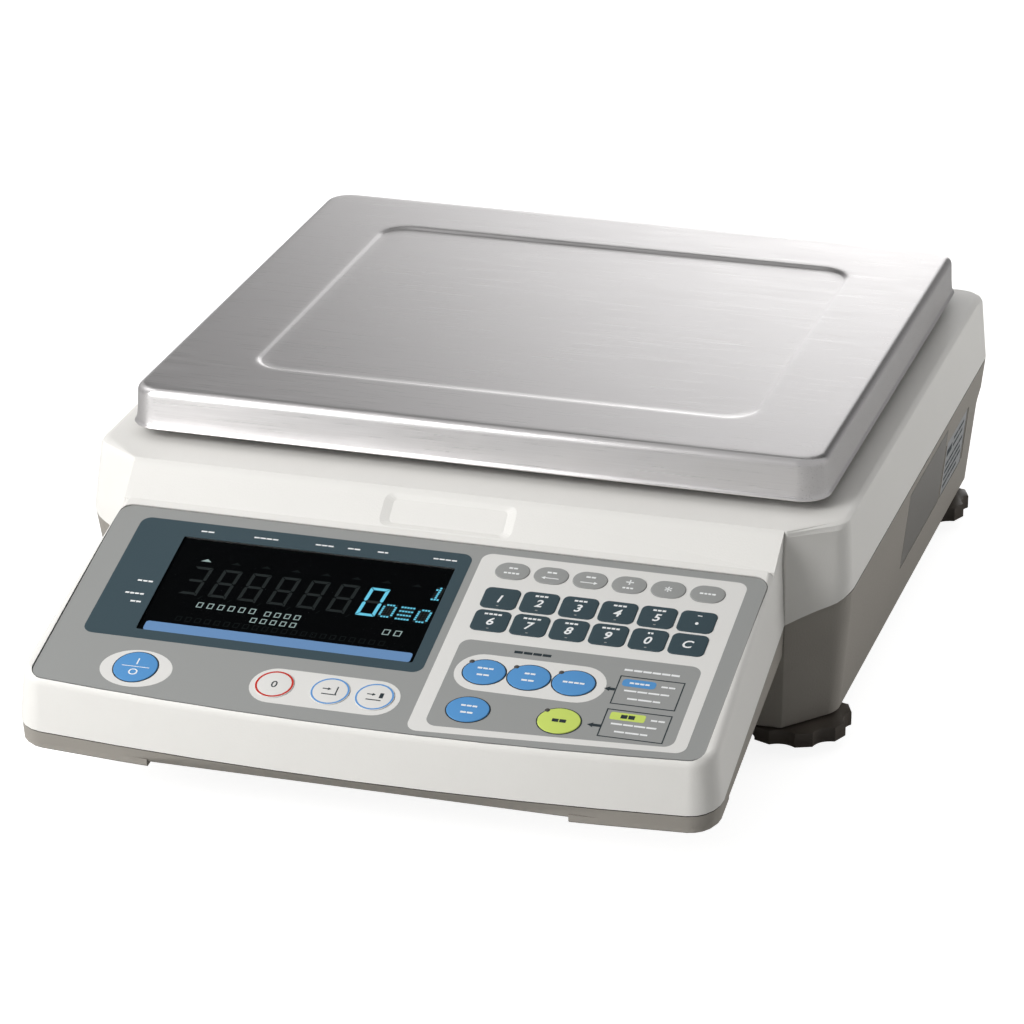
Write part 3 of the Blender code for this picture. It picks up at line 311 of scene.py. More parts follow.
MARK_HALF = 0.012
CAPITAL_SHARE = 0.7
FONT_STEPS = 4
JOIN_WITHIN = 0.0001
SMOOTH_TO = 35.0
SMOOTH_CAPS_TO = 50.0
CORNER_STEPS = 8
CIRCLE_STEPS = 48
HEAD_SHARE = 0.6
THIN_PRINT = 0.02


def mesh_object(name, shape, look, matrix=None):
    """A mesh object in world coordinates from a bmesh whose lengths are in millimetres."""
    bmesh.ops.recalc_face_normals(shape, faces=shape.faces)
    data = bpy.data.meshes.new(name)
    shape.to_mesh(data)
    shape.free()
    data.transform(Matrix.Scale(MM, 4))
    if matrix is not None:
        data.transform(matrix)
    made = bpy.data.objects.new(name, data)
    bpy.context.scene.collection.objects.link(made)
    data.materials.append(LOOKS[look])
    return made


def smooth(item, angle=SMOOTH_TO):
    """Shades the item smooth, but keeps edges sharper than the angle in degrees."""
    item.data.shade_smooth()
    item.data.set_sharp_from_angle(angle=math.radians(angle))
    return item


def add_rings(shape, rings):
    """A closed skin over a stack of rings with equal numbers of points."""
    loops = [[shape.verts.new(point) for point in ring] for ring in rings]
    for lower, upper in zip(loops, loops[1:]):
        join_loops(shape, lower, upper)
    shape.faces.new(loops[0])
    shape.faces.new(loops[-1])


def add_tube(shape, rings):
    """A closed band whose last ring joins its first ring, such as a flat ring or a rim."""
    loops = [[shape.verts.new(point) for point in ring] for ring in rings]
    for lower, upper in zip(loops, loops[1:] + loops[:1]):
        join_loops(shape, lower, upper)


def join_loops(shape, lower, upper):
    for index, vertex in enumerate(lower):
        after = (index + 1) % len(lower)
        shape.faces.new((vertex, lower[after], upper[after], upper[index]))


def loft(name, rings, look, matrix=None, angle=SMOOTH_TO):
    shape = bmesh.new()
    add_rings(shape, rings)
    return smooth(mesh_object(name, shape, look, matrix), angle)


def ring_at(outline, level):
    return [(x, y, level) for x, y in outline]


def rounded_rectangle(half_u, half_v, radius, steps=CORNER_STEPS, centre=(0.0, 0.0)):
    points = []
    for quarter, (sign_u, sign_v) in enumerate(((1, 1), (-1, 1), (-1, -1), (1, -1))):
        for index in range(steps + 1):
            angle = (quarter + index / steps) * math.pi / 2
            u = centre[0] + sign_u * (half_u - radius) + radius * math.cos(angle)
            v = centre[1] + sign_v * (half_v - radius) + radius * math.sin(angle)
            points.append((u, v))
    return points


def span_rectangle(left, right, low, high, radius):
    centre = ((left + right) / 2, (low + high) / 2)
    return rounded_rectangle((right - left) / 2, (high - low) / 2, radius, CORNER_STEPS, centre)


def ellipse(radius_u, radius_v, centre=(0.0, 0.0), steps=CIRCLE_STEPS):
    angles = [2 * math.pi * index / steps for index in range(steps)]
    return [(centre[0] + radius_u * math.cos(a), centre[1] + radius_v * math.sin(a)) for a in angles]


def shifted(outline, u, v):
    return [(x + u, y + v) for x, y in outline]


def plate(name, outlines, low, high, look, matrix=DECK_FRAME):
    """A thin printed plate; outlines inside other outlines are holes."""
    curve = bpy.data.curves.new(name + "_curve", 'CURVE')
    curve.dimensions = '2D'
    curve.fill_mode = 'BOTH'
    curve.extrude = (high - low) / 2
    for outline in outlines:
        spline = curve.splines.new('POLY')
        spline.points.add(len(outline) - 1)
        for point, (x, y) in zip(spline.points, outline):
            point.co = (x, y, 0.0, 1.0)
        spline.use_cyclic_u = True
    holder = bpy.data.objects.new(name + "_curve", curve)
    bpy.context.scene.collection.objects.link(holder)
    bpy.context.view_layer.update()
    data = bpy.data.meshes.new_from_object(holder.evaluated_get(bpy.context.evaluated_depsgraph_get()))
    bpy.data.objects.remove(holder, do_unlink=True)
    shape = bmesh.new()
    shape.from_mesh(data)
    bmesh.ops.remove_doubles(shape, verts=shape.verts, dist=JOIN_WITHIN)
    bmesh.ops.translate(shape, verts=shape.verts, vec=(0, 0, (low + high) / 2))
    return mesh_object(name, shape, look, matrix)


def text_mesh(body, height, slant, weight):
    """A flat text mesh in millimetres, centred on its own middle."""
    font = bpy.data.curves.new("text_" + body, 'FONT')
    font.body = body
    font.size = height / CAPITAL_SHARE
    font.align_x = 'CENTER'
    font.offset = height * weight
    font.extrude = MARK_HALF
    font.shear = slant
    font.resolution_u = FONT_STEPS
    holder = bpy.data.objects.new("text_" + body, font)
    bpy.context.scene.collection.objects.link(holder)
    bpy.context.view_layer.update()
    data = bpy.data.meshes.new_from_object(holder.evaluated_get(bpy.context.evaluated_depsgraph_get()))
    bpy.data.objects.remove(holder, do_unlink=True)
    xs = [vertex.co.x for vertex in data.vertices]
    ys = [vertex.co.y for vertex in data.vertices]
    data.transform(Matrix.Translation((-(min(xs) + max(xs)) / 2, -(min(ys) + max(ys)) / 2, 0)))
    return data


def bars_mesh(bars):
    """Flat marks in millimetres, each an outline."""
    shape = bmesh.new()
    for outline in bars:
        add_rings(shape, [ring_at(outline, -MARK_HALF), ring_at(outline, MARK_HALF)])
    data = bpy.data.meshes.new("marks")
    bmesh.ops.recalc_face_normals(shape, faces=shape.faces)
    shape.to_mesh(data)
    shape.free()
    return data


def bar(u, v, width, height):
    return [(u - width / 2, v - height / 2), (u + width / 2, v - height / 2),
            (u + width / 2, v + height / 2), (u - width / 2, v + height / 2)]


def arrow(u, v, length, thickness, head, direction):
    """An arrow outline whose middle is at u, v; direction is 1 to the right and -1 to the left."""
    tip = length / 2
    neck = tip - head
    points = [(-tip, -thickness / 2), (neck, -thickness / 2), (neck, -head * HEAD_SHARE), (tip, 0),
              (neck, head * HEAD_SHARE), (neck, thickness / 2), (-tip, thickness / 2)]
    return [(u + direction * x, v + y) for x, y in points]


def merge(target, data, look, matrix):
    """Add a mesh in millimetres to an object, with its own material."""
    data.transform(Matrix.Scale(MM, 4))
    data.transform(matrix)
    names = [material.name for material in target.data.materials]
    if LOOKS[look].name in names:
        index = names.index(LOOKS[look].name)
    else:
        index = len(names)
        target.data.materials.append(LOOKS[look])
    shape = bmesh.new()
    shape.from_mesh(target.data)
    before = len(shape.faces)
    shape.from_mesh(data)
    shape.faces.ensure_lookup_table()
    for face in shape.faces[before:]:
        face.material_index = index
        face.smooth = False
    shape.to_mesh(target.data)
    shape.free()
    bpy.data.meshes.remove(data)


def deck_place(u, v, w):
    return DECK_FRAME @ Matrix.Translation((u * MM, v * MM, w * MM))


def node_deck_centre(node):
    """Where a CAD node's middle lies on the deck, in millimetres."""
    low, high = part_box(node)
    local = DECK_FRAME.inverted() @ ((low + high) / 2)
    return local.x / MM, local.y / MM


# Keys: rectangles as width, depth and corner radius, ovals as width and depth, rounds as diameter

RECTANGLE_KEYS = {"digit": (14.9, 12.9, 2.7), "function": (14.7, 10.7, 5.3)}
KEY_CORNER_STEPS = 7
DIGIT_NAMES = ("key_1", "key_2", "key_3", "key_4", "key_5", "key_point",
               "key_6", "key_7", "key_8", "key_9", "key_0", "key_clear")
FUNCTION_NAMES = ("key_scale", "key_print", "key_total", "key_memory", "key_star", "key_reset")
OVAL_NAMES = ("key_recall", "key_enter", "key_sample", "key_unit_memory", "key_register")
ROUND_SIZES = {"key_power": 17.7, "key_zero": 15.8, "key_tare_set": 15.8, "key_tare": 15.8}
OVAL_SIZE = (17.0, 14.5)
ELLIPSE_GROW = 0.12
DIGIT_GROW = 0.02
FUNCTION_GROW = -0.17

# The cap's rounded edge as height and inset, and the dark line's two edges outside the cap
CAP_PROFILE = ((KEY_FOOT, 0.0), (0.10, 0.0), (0.24, 0.03), (0.34, 0.11), (0.40, 0.24), (KEY_TOP, 0.42))
LINE_OUTER = 0.50
LINE_INNER = 0.04
HOLE_GAP = 0.06


def key_outline(name, inset=0.0):
    """The key's outline round its own middle; a negative inset makes it larger."""
    if name in DIGIT_NAMES or name in FUNCTION_NAMES:
        width, depth, radius = RECTANGLE_KEYS["digit" if name in DIGIT_NAMES else "function"]
        return rounded_rectangle(width / 2 - inset, depth / 2 - inset, radius - inset, KEY_CORNER_STEPS)
    if name in OVAL_NAMES:
        return ellipse(OVAL_SIZE[0] / 2 - inset, OVAL_SIZE[1] / 2 - inset)
    radius = ROUND_SIZES[name] / 2 - inset
    return ellipse(radius, radius)


def key_grow(name):
    """How much larger the cap is than the key; corners must stay inside the film's faceted holes."""
    if name in DIGIT_NAMES:
        return DIGIT_GROW
    return FUNCTION_GROW if name in FUNCTION_NAMES else ELLIPSE_GROW


def all_keys():
    return DIGIT_NAMES + FUNCTION_NAMES + OVAL_NAMES + tuple(ROUND_SIZES)


def key_look(name):
    if name in DIGIT_NAMES:
        return "key_teal"
    if name in FUNCTION_NAMES:
        return "key_gray"
    if name == "key_register":
        return "key_lime"
    if name in ("key_zero", "key_tare_set", "key_tare"):
        return "film_pale"
    return "key_blue"


def key_cap(name):
    """A cap with a soft rounded edge that stands for the CAD key."""
    u, v = node_deck_centre(name)
    rings = [ring_at(key_outline(name, inset - key_grow(name)), w) for w, inset in CAP_PROFILE]
    cap = loft(name + "_cap", rings, key_look(name), deck_place(u, v, 0.0), SMOOTH_CAPS_TO)
    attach(cap, name)
    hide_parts(name)
    return cap, u, v


DASH_HEIGHT = 0.95
DASH_GAP = 0.4


def text_marks(lines, height=DASH_HEIGHT):
    """Short rows of dashes that stand where the real key has words; each line is (v, widths)."""
    bars = []
    for v, widths in lines:
        total = sum(widths) + DASH_GAP * (len(widths) - 1)
        u = -total / 2
        for width in widths:
            bars.append(bar(u + width / 2, v, width, height))
            u += width + DASH_GAP
    return bars


def word(u, v, widths, height=DASH_HEIGHT):
    """One dashed word whose middle is at u, v."""
    return [shifted(outline, u, v) for outline in text_marks(((0.0, widths),), height)]


def ring_mesh(outer, inner):
    """A flat ring built as a closed band."""
    shape = bmesh.new()
    sides = ((inner, -MARK_HALF), (outer, -MARK_HALF), (outer, MARK_HALF), (inner, MARK_HALF))
    add_tube(shape, [ring_at(ellipse(radius, radius), level) for radius, level in sides])
    bmesh.ops.recalc_face_normals(shape, faces=shape.faces)
    data = bpy.data.meshes.new("ring")
    shape.to_mesh(data)
    shape.free()
    return data


# Large characters on the keys as body, height, slant, weight and place above the key's middle
DIGIT_STYLE = (4.3, 0.20, 0.030)
THIN_WEIGHT = 0.012
LETTERS = {
    "key_star": (("*", 5.0, 0.0, THIN_WEIGHT, 0.0),),
    "key_power": (("I", 3.6, 0.0, THIN_WEIGHT, 3.2), ("O", 3.6, 0.0, THIN_WEIGHT, -3.2)),
    "key_zero": (("0", 3.8, 0.0, THIN_WEIGHT, 0.0),),
    "key_clear": (("C", *DIGIT_STYLE, 0.0),)}
for digit in "0123456789":
    LETTERS["key_" + digit] = ((digit, *DIGIT_STYLE, -0.5),)

# Dashes above the digits, where the real keys have letters
THREE_DASHES = (1.5, 1.5, 1.5)
FOUR_DASHES = (1.5, 1.5, 1.5, 1.5)
ABOVE_DIGIT = {
    "key_2": THREE_DASHES, "key_3": THREE_DASHES, "key_4": THREE_DASHES, "key_5": THREE_DASHES,
    "key_6": FOUR_DASHES, "key_7": FOUR_DASHES, "key_8": THREE_DASHES, "key_9": FOUR_DASHES,
    "key_0": (0.9, 0.9)}
ABOVE_DIGIT_V = 3.9
ABOVE_DIGIT_HEIGHT = 1.0
UNDER_DIGIT = (0.0, -4.9, 1.0, 0.45)

# Dashed words on the other keys, as place and widths
WORDS = {
    "key_scale": ((1.7, (1.6, 1.6)), (-1.5, (1.3, 1.3, 1.3, 1.3))),
    "key_print": ((1.7, (1.8, 1.8)),),
    "key_total": ((1.7, (1.8, 1.8)),),
    "key_memory": ((-2.2, (1.2, 1.2, 1.2)),),
    "key_reset": ((0.0, (1.5, 1.2, 1.2, 1.5)),),
    "key_recall": ((2.0, (1.9, 1.9, 1.9)), (-2.0, (2.3, 2.3))),
    "key_unit_memory": ((2.0, (1.9, 1.9, 1.9)), (-2.0, (2.3, 2.3))),
    "key_enter": ((2.0, (2.0, 2.0)), (-2.0, (2.3, 2.3))),
    "key_sample": ((0.0, (1.9, 1.9, 1.9, 1.9)),),
    "key_register": ((0.45, (2.6, 2.6)), (-0.45, (2.6, 2.6)))}

# Symbols on the keys
TARE_PAN = [bar(0, -1.9, 6.2, 0.55), arrow(-1.6, 1.2, 3.6, 0.5, 1.4, 1)]
SYMBOLS = {
    "key_point": [ellipse(0.7, 0.8, (0.2, -1.2), 16), bar(0.4, 3.6, 1.9, 0.5)],
    "key_print": [arrow(0, -1.8, 7.2, 0.45, 1.5, -1)],
    "key_total": [arrow(0, -1.8, 7.2, 0.45, 1.5, 1)],
    "key_memory": [bar(0, 1.5, 3.2, 0.62), bar(0, 1.5, 0.62, 3.0)],
    "key_power": [bar(0, 0, 11.6, 0.32)],
    "key_tare_set": TARE_PAN + [bar(2.6, 0.7, 0.55, 4.6)],
    "key_tare": TARE_PAN + [bar(2.6, 1.0, 1.6, 3.0)]}

# Rings on the pale round keys, as outer and inner radius and ink
RINGS = {
    "key_zero": (7.75, 6.90, "ink_red"),
    "key_tare_set": (7.75, 7.00, "ink_blue"),
    "key_tare": (7.75, 7.00, "ink_blue")}


def add_key_marks(cap, name, u, v):
    def put(data, look, dv=0.0):
        merge(cap, data, look, deck_place(u, v + dv, KEY_TOP + MARK_HALF))

    ink = "ink_dark" if key_look(name) in ("film_pale", "key_lime") else "ink_white"
    if name in RINGS:
        outer, inner, ring_ink = RINGS[name]
        put(ring_mesh(outer, inner), ring_ink)
    for body, height, slant, weight, dv in LETTERS.get(name, ()):
        put(text_mesh(body, height, slant, weight), ink, dv)
    if name in ABOVE_DIGIT:
        above = text_marks(((ABOVE_DIGIT_V, ABOVE_DIGIT[name]),), ABOVE_DIGIT_HEIGHT)
        put(bars_mesh(above), ink)
    if name in DIGIT_NAMES and name not in ("key_point", "key_clear"):
        put(bars_mesh([bar(*UNDER_DIGIT)]), "film_gray")
    marks = text_marks(WORDS.get(name, ())) + SYMBOLS.get(name, [])
    if marks:
        put(bars_mesh(marks), ink)


def outlined(name, u, v):
    """A thin dark line round the coloured keys, as a band just above the print."""
    outer = shifted(key_outline(name, -key_grow(name) - LINE_OUTER), u, v)
    inner = shifted(key_outline(name, -key_grow(name) - LINE_INNER), u, v)
    return [outer, inner]


def make_keys():
    outlines = []
    for name in all_keys():
        cap, u, v = key_cap(name)
        add_key_marks(cap, name, u, v)
        if key_look(name) in ("key_blue", "key_lime"):
            outlines += outlined(name, u, v)
    lines = plate("key_outlines", outlines, PRINT_HIGH, PRINT_HIGH + THIN_PRINT, "ink_dark")
    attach(lines, "base")


# Printed keypad: fields as left, right, low and high edge and corner radius

WINDOW = (-105.7, 11.2, -76.4, -15.8, 1.0)
BEZEL = (-127.0, 16.5, -82.0, -6.4, 4.5)
OVAL_FIELD = (29.0, 90.8, -88.0, -66.0, 10.9)
ROUND_FIELD = (-48.9, 13.1, -110.3, -89.6, 10.3)
POWER_RADII = (15.0, 11.2)
POWER_AT = (-97.0, -100.2)

# Panels with a bowed front: left, right and back edge, front at the left and at the right, radius
PANEL = (20.0, 130.9, -4.2, -115.6, -109.6, 4.5)
LOWER_FIELD = (26.5, 125.5, -58.2, -111.5, -106.9, 4.5)
FRONT_BOW = 0.5


def key_holes(names):
    holes = []
    for name in names:
        u, v = node_deck_centre(name)
        holes.append(shifted(key_outline(name, -key_grow(name) - HOLE_GAP), u, v))
    return holes


def bowed_panel(left, right, back, front_left, front_right, radius):
    """A panel with rounded corners whose front edge follows the housing's bow."""
    points = []
    centres = ((right - radius, back - radius), (left + radius, back - radius),
               (left + radius, front_left + radius), (right - radius, front_right + radius))
    for quarter, (centre_u, centre_v) in enumerate(centres):
        for index in range(CORNER_STEPS + 1):
            angle = (quarter + index / CORNER_STEPS) * math.pi / 2
            points.append((centre_u + radius * math.cos(angle), centre_v + radius * math.sin(angle)))
        if quarter == 2:
            points += bowed_front(left + radius, right - radius, front_left, front_right)
    return points


def bowed_front(left, right, front_left, front_right):
    points = []
    for index in range(1, CORNER_STEPS):
        share = index / CORNER_STEPS
        straight = front_left + (front_right - front_left) * share
        points.append((left + (right - left) * share, straight - FRONT_BOW * share * (1 - share)))
    return points


def make_print():
    panel, lower, ovals = bowed_panel(*PANEL), bowed_panel(*LOWER_FIELD), span_rectangle(*OVAL_FIELD)
    window = [span_rectangle(*BEZEL), span_rectangle(*WINDOW)]
    oval_keys = key_holes(("key_recall", "key_enter", "key_sample"))
    low_keys = key_holes(("key_unit_memory", "key_register"))
    round_field = [span_rectangle(*ROUND_FIELD)] + key_holes(("key_zero", "key_tare_set", "key_tare"))
    power_field = [ellipse(*POWER_RADII, POWER_AT)] + key_holes(("key_power",))
    upper_keys = key_holes(DIGIT_NAMES + FUNCTION_NAMES)
    for name, outlines, low, high, look in (
            ("print_bezel", window, LENS_TOP + THIN_PRINT, PRINT_MIDDLE, "film_teal"),
            ("print_panel", [panel, lower] + upper_keys, 0.0, PRINT_MIDDLE, "film_pale"),
            ("print_pill", [ovals] + oval_keys, 0.0, PRINT_MIDDLE, "film_pale"),
            ("print_lower_field", [lower, ovals] + low_keys, 0.0, PRINT_LOW, "film_gray"),
            ("print_round_field", round_field, 0.0, PRINT_MIDDLE, "film_pale"),
            ("print_power_field", power_field, 0.0, PRINT_MIDDLE, "film_pale")):
        printed(name, outlines, low, high, look)


def printed(name, outlines, low, high, look):
    """One plate of the print, attached to the base."""
    piece = plate(name, outlines, low, high, look)
    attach(piece, "base")


# Dashed words in white as middle, widths and dash height: above and beside the window, then help texts
WHITE_WORDS = (
    (-97.0, -11.5, (2.6, 2.6), 0.8), (-71.5, -11.5, (2.3, 2.3, 2.3, 2.3), 0.8),
    (-46.2, -11.5, (2.3, 2.3, 2.3), 0.8), (-33.5, -11.5, (2.4, 2.4), 0.8),
    (-21.1, -11.5, (2.6, 1.4), 0.8), (5.5, -11.5, (2.2, 2.2, 2.2, 2.2), 0.8),
    (-112.0, -46.8, (1.9, 1.9, 1.9), DASH_HEIGHT), (-113.7, -55.1, (1.7, 1.7, 1.7, 1.7), DASH_HEIGHT),
    (-111.5, -60.0, (2.0, 2.0), DASH_HEIGHT), (107.4, -77.2, (5.0, 4.0, 4.5, 3.5), DASH_HEIGHT),
    (107.4, -81.8, (4.0, 5.5, 3.0), DASH_HEIGHT), (107.4, -97.2, (4.5, 4.0, 4.5, 4.0), DASH_HEIGHT),
    (107.4, -101.6, (4.0, 5.5, 3.0), DASH_HEIGHT), (115.0, -72.6, (2.6, 2.6), DASH_HEIGHT),
    (116.0, -92.8, (2.6, 2.6), DASH_HEIGHT), (106.5, -65.0, (3.4, 3.4, 3.4, 3.4, 3.4, 3.4), 1.1))

# The two help boxes, the arrows beside them and the small tags inside them
BOX_MIDDLE = 107.85
BOX_WIDTH = 26.3
BOX_LINE_TWICE = 1.0
BOX_SPANS = ((-68.6, -85.8), (-88.8, -105.4))
BOX_ARROWS = ((92.4, -77.3, 4.4, 1.5, 2.3, -1), (92.0, -99.4, 5.4, 1.5, 2.3, -1))
DARK_WORD = (57.0, -62.45, (3.5, 3.5, 3.5, 3.5), 1.5)
BLUE_TAG = (96.4, 110.0, -74.7, -70.3, 1.6)
LIME_TAG = (96.8, 110.9, -94.8, -90.4, 1.0)
BLUE_TAG_WORD = (103.4, -72.5, (1.7, 1.7, 1.7, 1.7))
LIME_TAG_BARS = ((102.4, -92.6, 2.6, 2.2), (105.4, -92.6, 2.6, 2.2))


def help_boxes():
    boxes = []
    for top, bottom in BOX_SPANS:
        middle, height = (top + bottom) / 2, top - bottom
        boxes.append(bar(BOX_MIDDLE, middle, BOX_WIDTH, height))
        boxes.append(bar(BOX_MIDDLE, middle, BOX_WIDTH - BOX_LINE_TWICE, height - BOX_LINE_TWICE))
    return boxes + [arrow(*numbers) for numbers in BOX_ARROWS]


def make_labels():
    """Small marks printed round the window and in the lower field."""
    white = []
    for u, v, widths, height in WHITE_WORDS:
        white += word(u, v, widths, height)
    dark = help_boxes() + word(*DARK_WORD)
    printed("print_white_marks", white, PRINT_MIDDLE, PRINT_HIGH, "ink_white")
    printed("print_dark_marks", dark, PRINT_MIDDLE, PRINT_HIGH, "ink_dark")
    printed("print_blue_tag", [span_rectangle(*BLUE_TAG)], PRINT_MIDDLE, PRINT_HIGH, "key_blue")
    printed("print_lime_tag", [span_rectangle(*LIME_TAG)], PRINT_MIDDLE, PRINT_HIGH, "key_lime")
    tag_top = PRINT_HIGH + THIN_PRINT
    printed("print_tag_marks", word(*BLUE_TAG_WORD), PRINT_HIGH, tag_top, "ink_white")
    lime_bars = [bar(*numbers) for numbers in LIME_TAG_BARS]
    printed("print_tag_dark_marks", lime_bars, PRINT_HIGH, tag_top, "ink_dark")


# Lamps beside four of the keys, and their domed shape as height and radius
LAMPS_AT = ((34.6, -71.6), (53.0, -71.6), (71.4, -71.6), (72.0, -94.6))
LAMP_PROFILE = ((0.0, 1.15), (0.22, 1.10), (0.42, 0.86), (0.52, 0.45))
LAMP_FOOT = 0.4 * KEY_TOP
LAMP_STEPS = 20


def make_lamps():
    shape = bmesh.new()
    for place in LAMPS_AT:
        rings = [ring_at(ellipse(radius, radius, place, LAMP_STEPS), LAMP_FOOT + level)
                 for level, radius in LAMP_PROFILE]
        add_rings(shape, rings)
    lamps = smooth(mesh_object("key_lamps", shape, "lamp_dark", DECK_FRAME), SMOOTH_CAPS_TO)
    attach(lamps, "base")


# Display

DIGIT_PITCH = 12.63
DIGIT_WIDTH = 8.1
DIGIT_HEIGHT = 17.8
DIGIT_TOP = -34.0
SEGMENT = 1.45
SLANT = 0.09
FIRST_DIGIT_U = -94.8
DIGIT_COUNT = 7
SEGMENTS = "abcdefg"
FIRST_SEGMENTS = "abcdg"
SEGMENTS_ON_ZERO = "abcdef"
SEGMENT_GAP = 0.22
VIEW_SHIFT = (-0.4, 1.2)

# The point and the comma's tail beside a digit, from the digit's top-left corner
POINT_RADII = (0.55, 0.6)
POINT_STEPS = 12
POINT_U = DIGIT_WIDTH - 2.0
TAIL = ((8.8, -18.2), (9.3, -18.0), (8.0, -20.0), (7.5, -20.0))

# The row of small triangles above the digits
MARKER_COUNT = 8
MARKER_U = -91.4
MARKER_PITCH = 12.93
MARKER = ((-2.2, -30.4), (2.2, -30.4), (0.2, -28.7))

# The black field and the blue strip below the digits, as edges and corner radius
DISPLAY_FIELD = (-106.1, 11.4, -76.5, -15.8, 0.6)
FIELD_THICKNESS = 0.03
STRIP = (-103.0, 9.8, -76.1, -70.4, 1.3)
STRIP_THICKNESS = 0.04


def segment_outline(letter):
    """One slanted segment of a digit whose top-left corner is the origin."""
    w, h, t, gap = DIGIT_WIDTH, DIGIT_HEIGHT, SEGMENT, SEGMENT_GAP
    middle = -h / 2
    k = t / 2
    shapes = {
        "a": [(gap, 0), (w - gap, 0), (w - t - gap, -t), (t + gap, -t)],
        "g": [(k + gap, middle), (t + gap, middle + k), (w - t - gap, middle + k),
              (w - k - gap, middle), (w - t - gap, middle - k), (t + gap, middle - k)],
        "d": [(t + gap, -h + t), (w - t - gap, -h + t), (w - gap, -h), (gap, -h)],
        "f": [(0, -gap), (t, -t - gap), (t, middle + k + gap), (k, middle + gap), (0, middle + k)],
        "b": [(w, -gap), (w, middle + k), (w - k, middle + gap), (w - t, middle + k + gap),
              (w - t, -t - gap)],
        "e": [(0, -h + gap), (0, middle - k), (k, middle - gap), (t, middle - k - gap),
              (t, -h + t + gap)],
        "c": [(w, -h + gap), (w - t, -h + t + gap), (w - t, middle - k - gap), (w - k, middle - gap),
              (w, middle - k)]}
    return [(x + y * SLANT, y) for x, y in shapes[letter]]


def display_plate(name, outlines, level, thickness, look):
    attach(plate(name, outlines, level, level + thickness, look), "base")


def glowing_plate(name, outlines, look):
    """Marks of the display, moved a little so that they line up through the raised window."""
    moved = [shifted(outline, *VIEW_SHIFT) for outline in outlines]
    display_plate(name, moved, GLOW_LEVEL, THIN_PRINT, look)


def add_digits(ghost, dim, lit):
    """Ghost digits with points and commas; the last digit shows a lit 0."""
    for index in range(DIGIT_COUNT):
        u = FIRST_DIGIT_U + index * DIGIT_PITCH
        last = index == DIGIT_COUNT - 1
        for letter in SEGMENTS if index else FIRST_SEGMENTS:
            outline = shifted(segment_outline(letter), u, DIGIT_TOP)
            (lit if last and letter in SEGMENTS_ON_ZERO else ghost).append(outline)
        if not last:
            point_at = (u + POINT_U, DIGIT_TOP - DIGIT_HEIGHT)
            ghost.append(ellipse(*POINT_RADII, point_at, POINT_STEPS))
            dim.append(shifted(TAIL, u, DIGIT_TOP))


def add_markers(dim, pale):
    for index in range(MARKER_COUNT):
        outline = shifted(MARKER, MARKER_U + index * MARKER_PITCH, 0.0)
        (dim if index else pale).append(outline)


def make_display():
    ghost, dim, lit, pale = [], [], [], []
    add_digits(ghost, dim, lit)
    add_markers(dim, pale)
    add_matrix(lit, ghost)
    for row in PALE_ROWS:
        pale += box_row(*row)
    dim += box_row(*DIM_ROW)
    field, strip = [span_rectangle(*DISPLAY_FIELD)], [span_rectangle(*STRIP)]
    display_plate("display_field", field, FIELD_LEVEL, FIELD_THICKNESS, "tube_black")
    glowing_plate("display_ghost_digits", ghost, "ghost")
    glowing_plate("display_dim_marks", dim, "ghost_dim")
    glowing_plate("display_lit_digits", lit, "lit")
    glowing_plate("display_lit_marks", pale, "lit_pale")
    display_plate("display_strip", strip, LENS_TOP, STRIP_THICKNESS, "strip_blue")


CELL = 1.22
ONE = ("010", "110", "010", "010", "010", "010", "111")
BLOCK = ("01110", "10001", "10001", "10001", "10001", "10001", "01110")
BARS = ("11111", "00000", "11111", "00000", "11111", "00000", "11111")
DOT_SHARE = 0.74
MATRIX_FIELDS = ((8.0, -29.6, ONE), (-10.2, -43.6, BLOCK), (-2.8, -43.9, BARS), (4.8, -44.3, BLOCK))


def add_matrix(lit, ghost):
    """Dot-matrix fields to the right of the large digits."""
    for left, top, pattern in MATRIX_FIELDS:
        for row, line in enumerate(pattern):
            for column, state in enumerate(line):
                u = left + column * CELL - row * CELL * SLANT
                dot = bar(u, top - row * CELL, CELL * DOT_SHARE, CELL * DOT_SHARE)
                (lit if state == "1" else ghost).append(dot)


# Rows of small characters kept as plain boxes: left, low, count, width, height and pitch
PALE_ROWS = ((-86.2, -59.2, 6, 2.5, 3.3, 4.5), (-57.0, -59.6, 4, 2.5, 3.0, 4.2),
             (-61.5, -64.4, 5, 2.5, 3.0, 4.2), (-6.3, -61.9, 2, 2.9, 3.4, 4.8))
DIM_ROW = (-92.0, -68.8, 22, 2.5, 3.0, 4.1)
BOX_LINE = 0.42
SIDE_OUTSIDE = 1.2
SIDE_INSIDE = 0.8


def slanted_box(u, v, width, height):
    """The outline of a small unreadable character, as an outer and an inner slanted box."""
    lean = height * SLANT
    more, less = BOX_LINE * SIDE_OUTSIDE, BOX_LINE * SIDE_INSIDE
    low, high = v + BOX_LINE, v + height - BOX_LINE
    outer = [(u, v), (u + width, v), (u + width + lean, v + height), (u + lean, v + height)]
    inner = [(u + more, low), (u + width - less, low), (u + width + lean - more, high),
             (u + lean + less, high)]
    return [outer, inner]


def box_row(left, low, count, width, height, pitch):
    boxes = []
    for index in range(count):
        boxes += slanted_box(left + index * pitch, low, width, height)
    return boxes


# Pan

PAN_SHEET = 1.2
PAN_BEND = 3.6
BEND_STEPS = 8
PAN_CORNER_STEPS = 18
SMALLEST_CORNER = 3.0
CORNER_SHRINK = 0.7
RECESS_CORNER = 14.0
SMOOTH_PAN_TO = 60.0

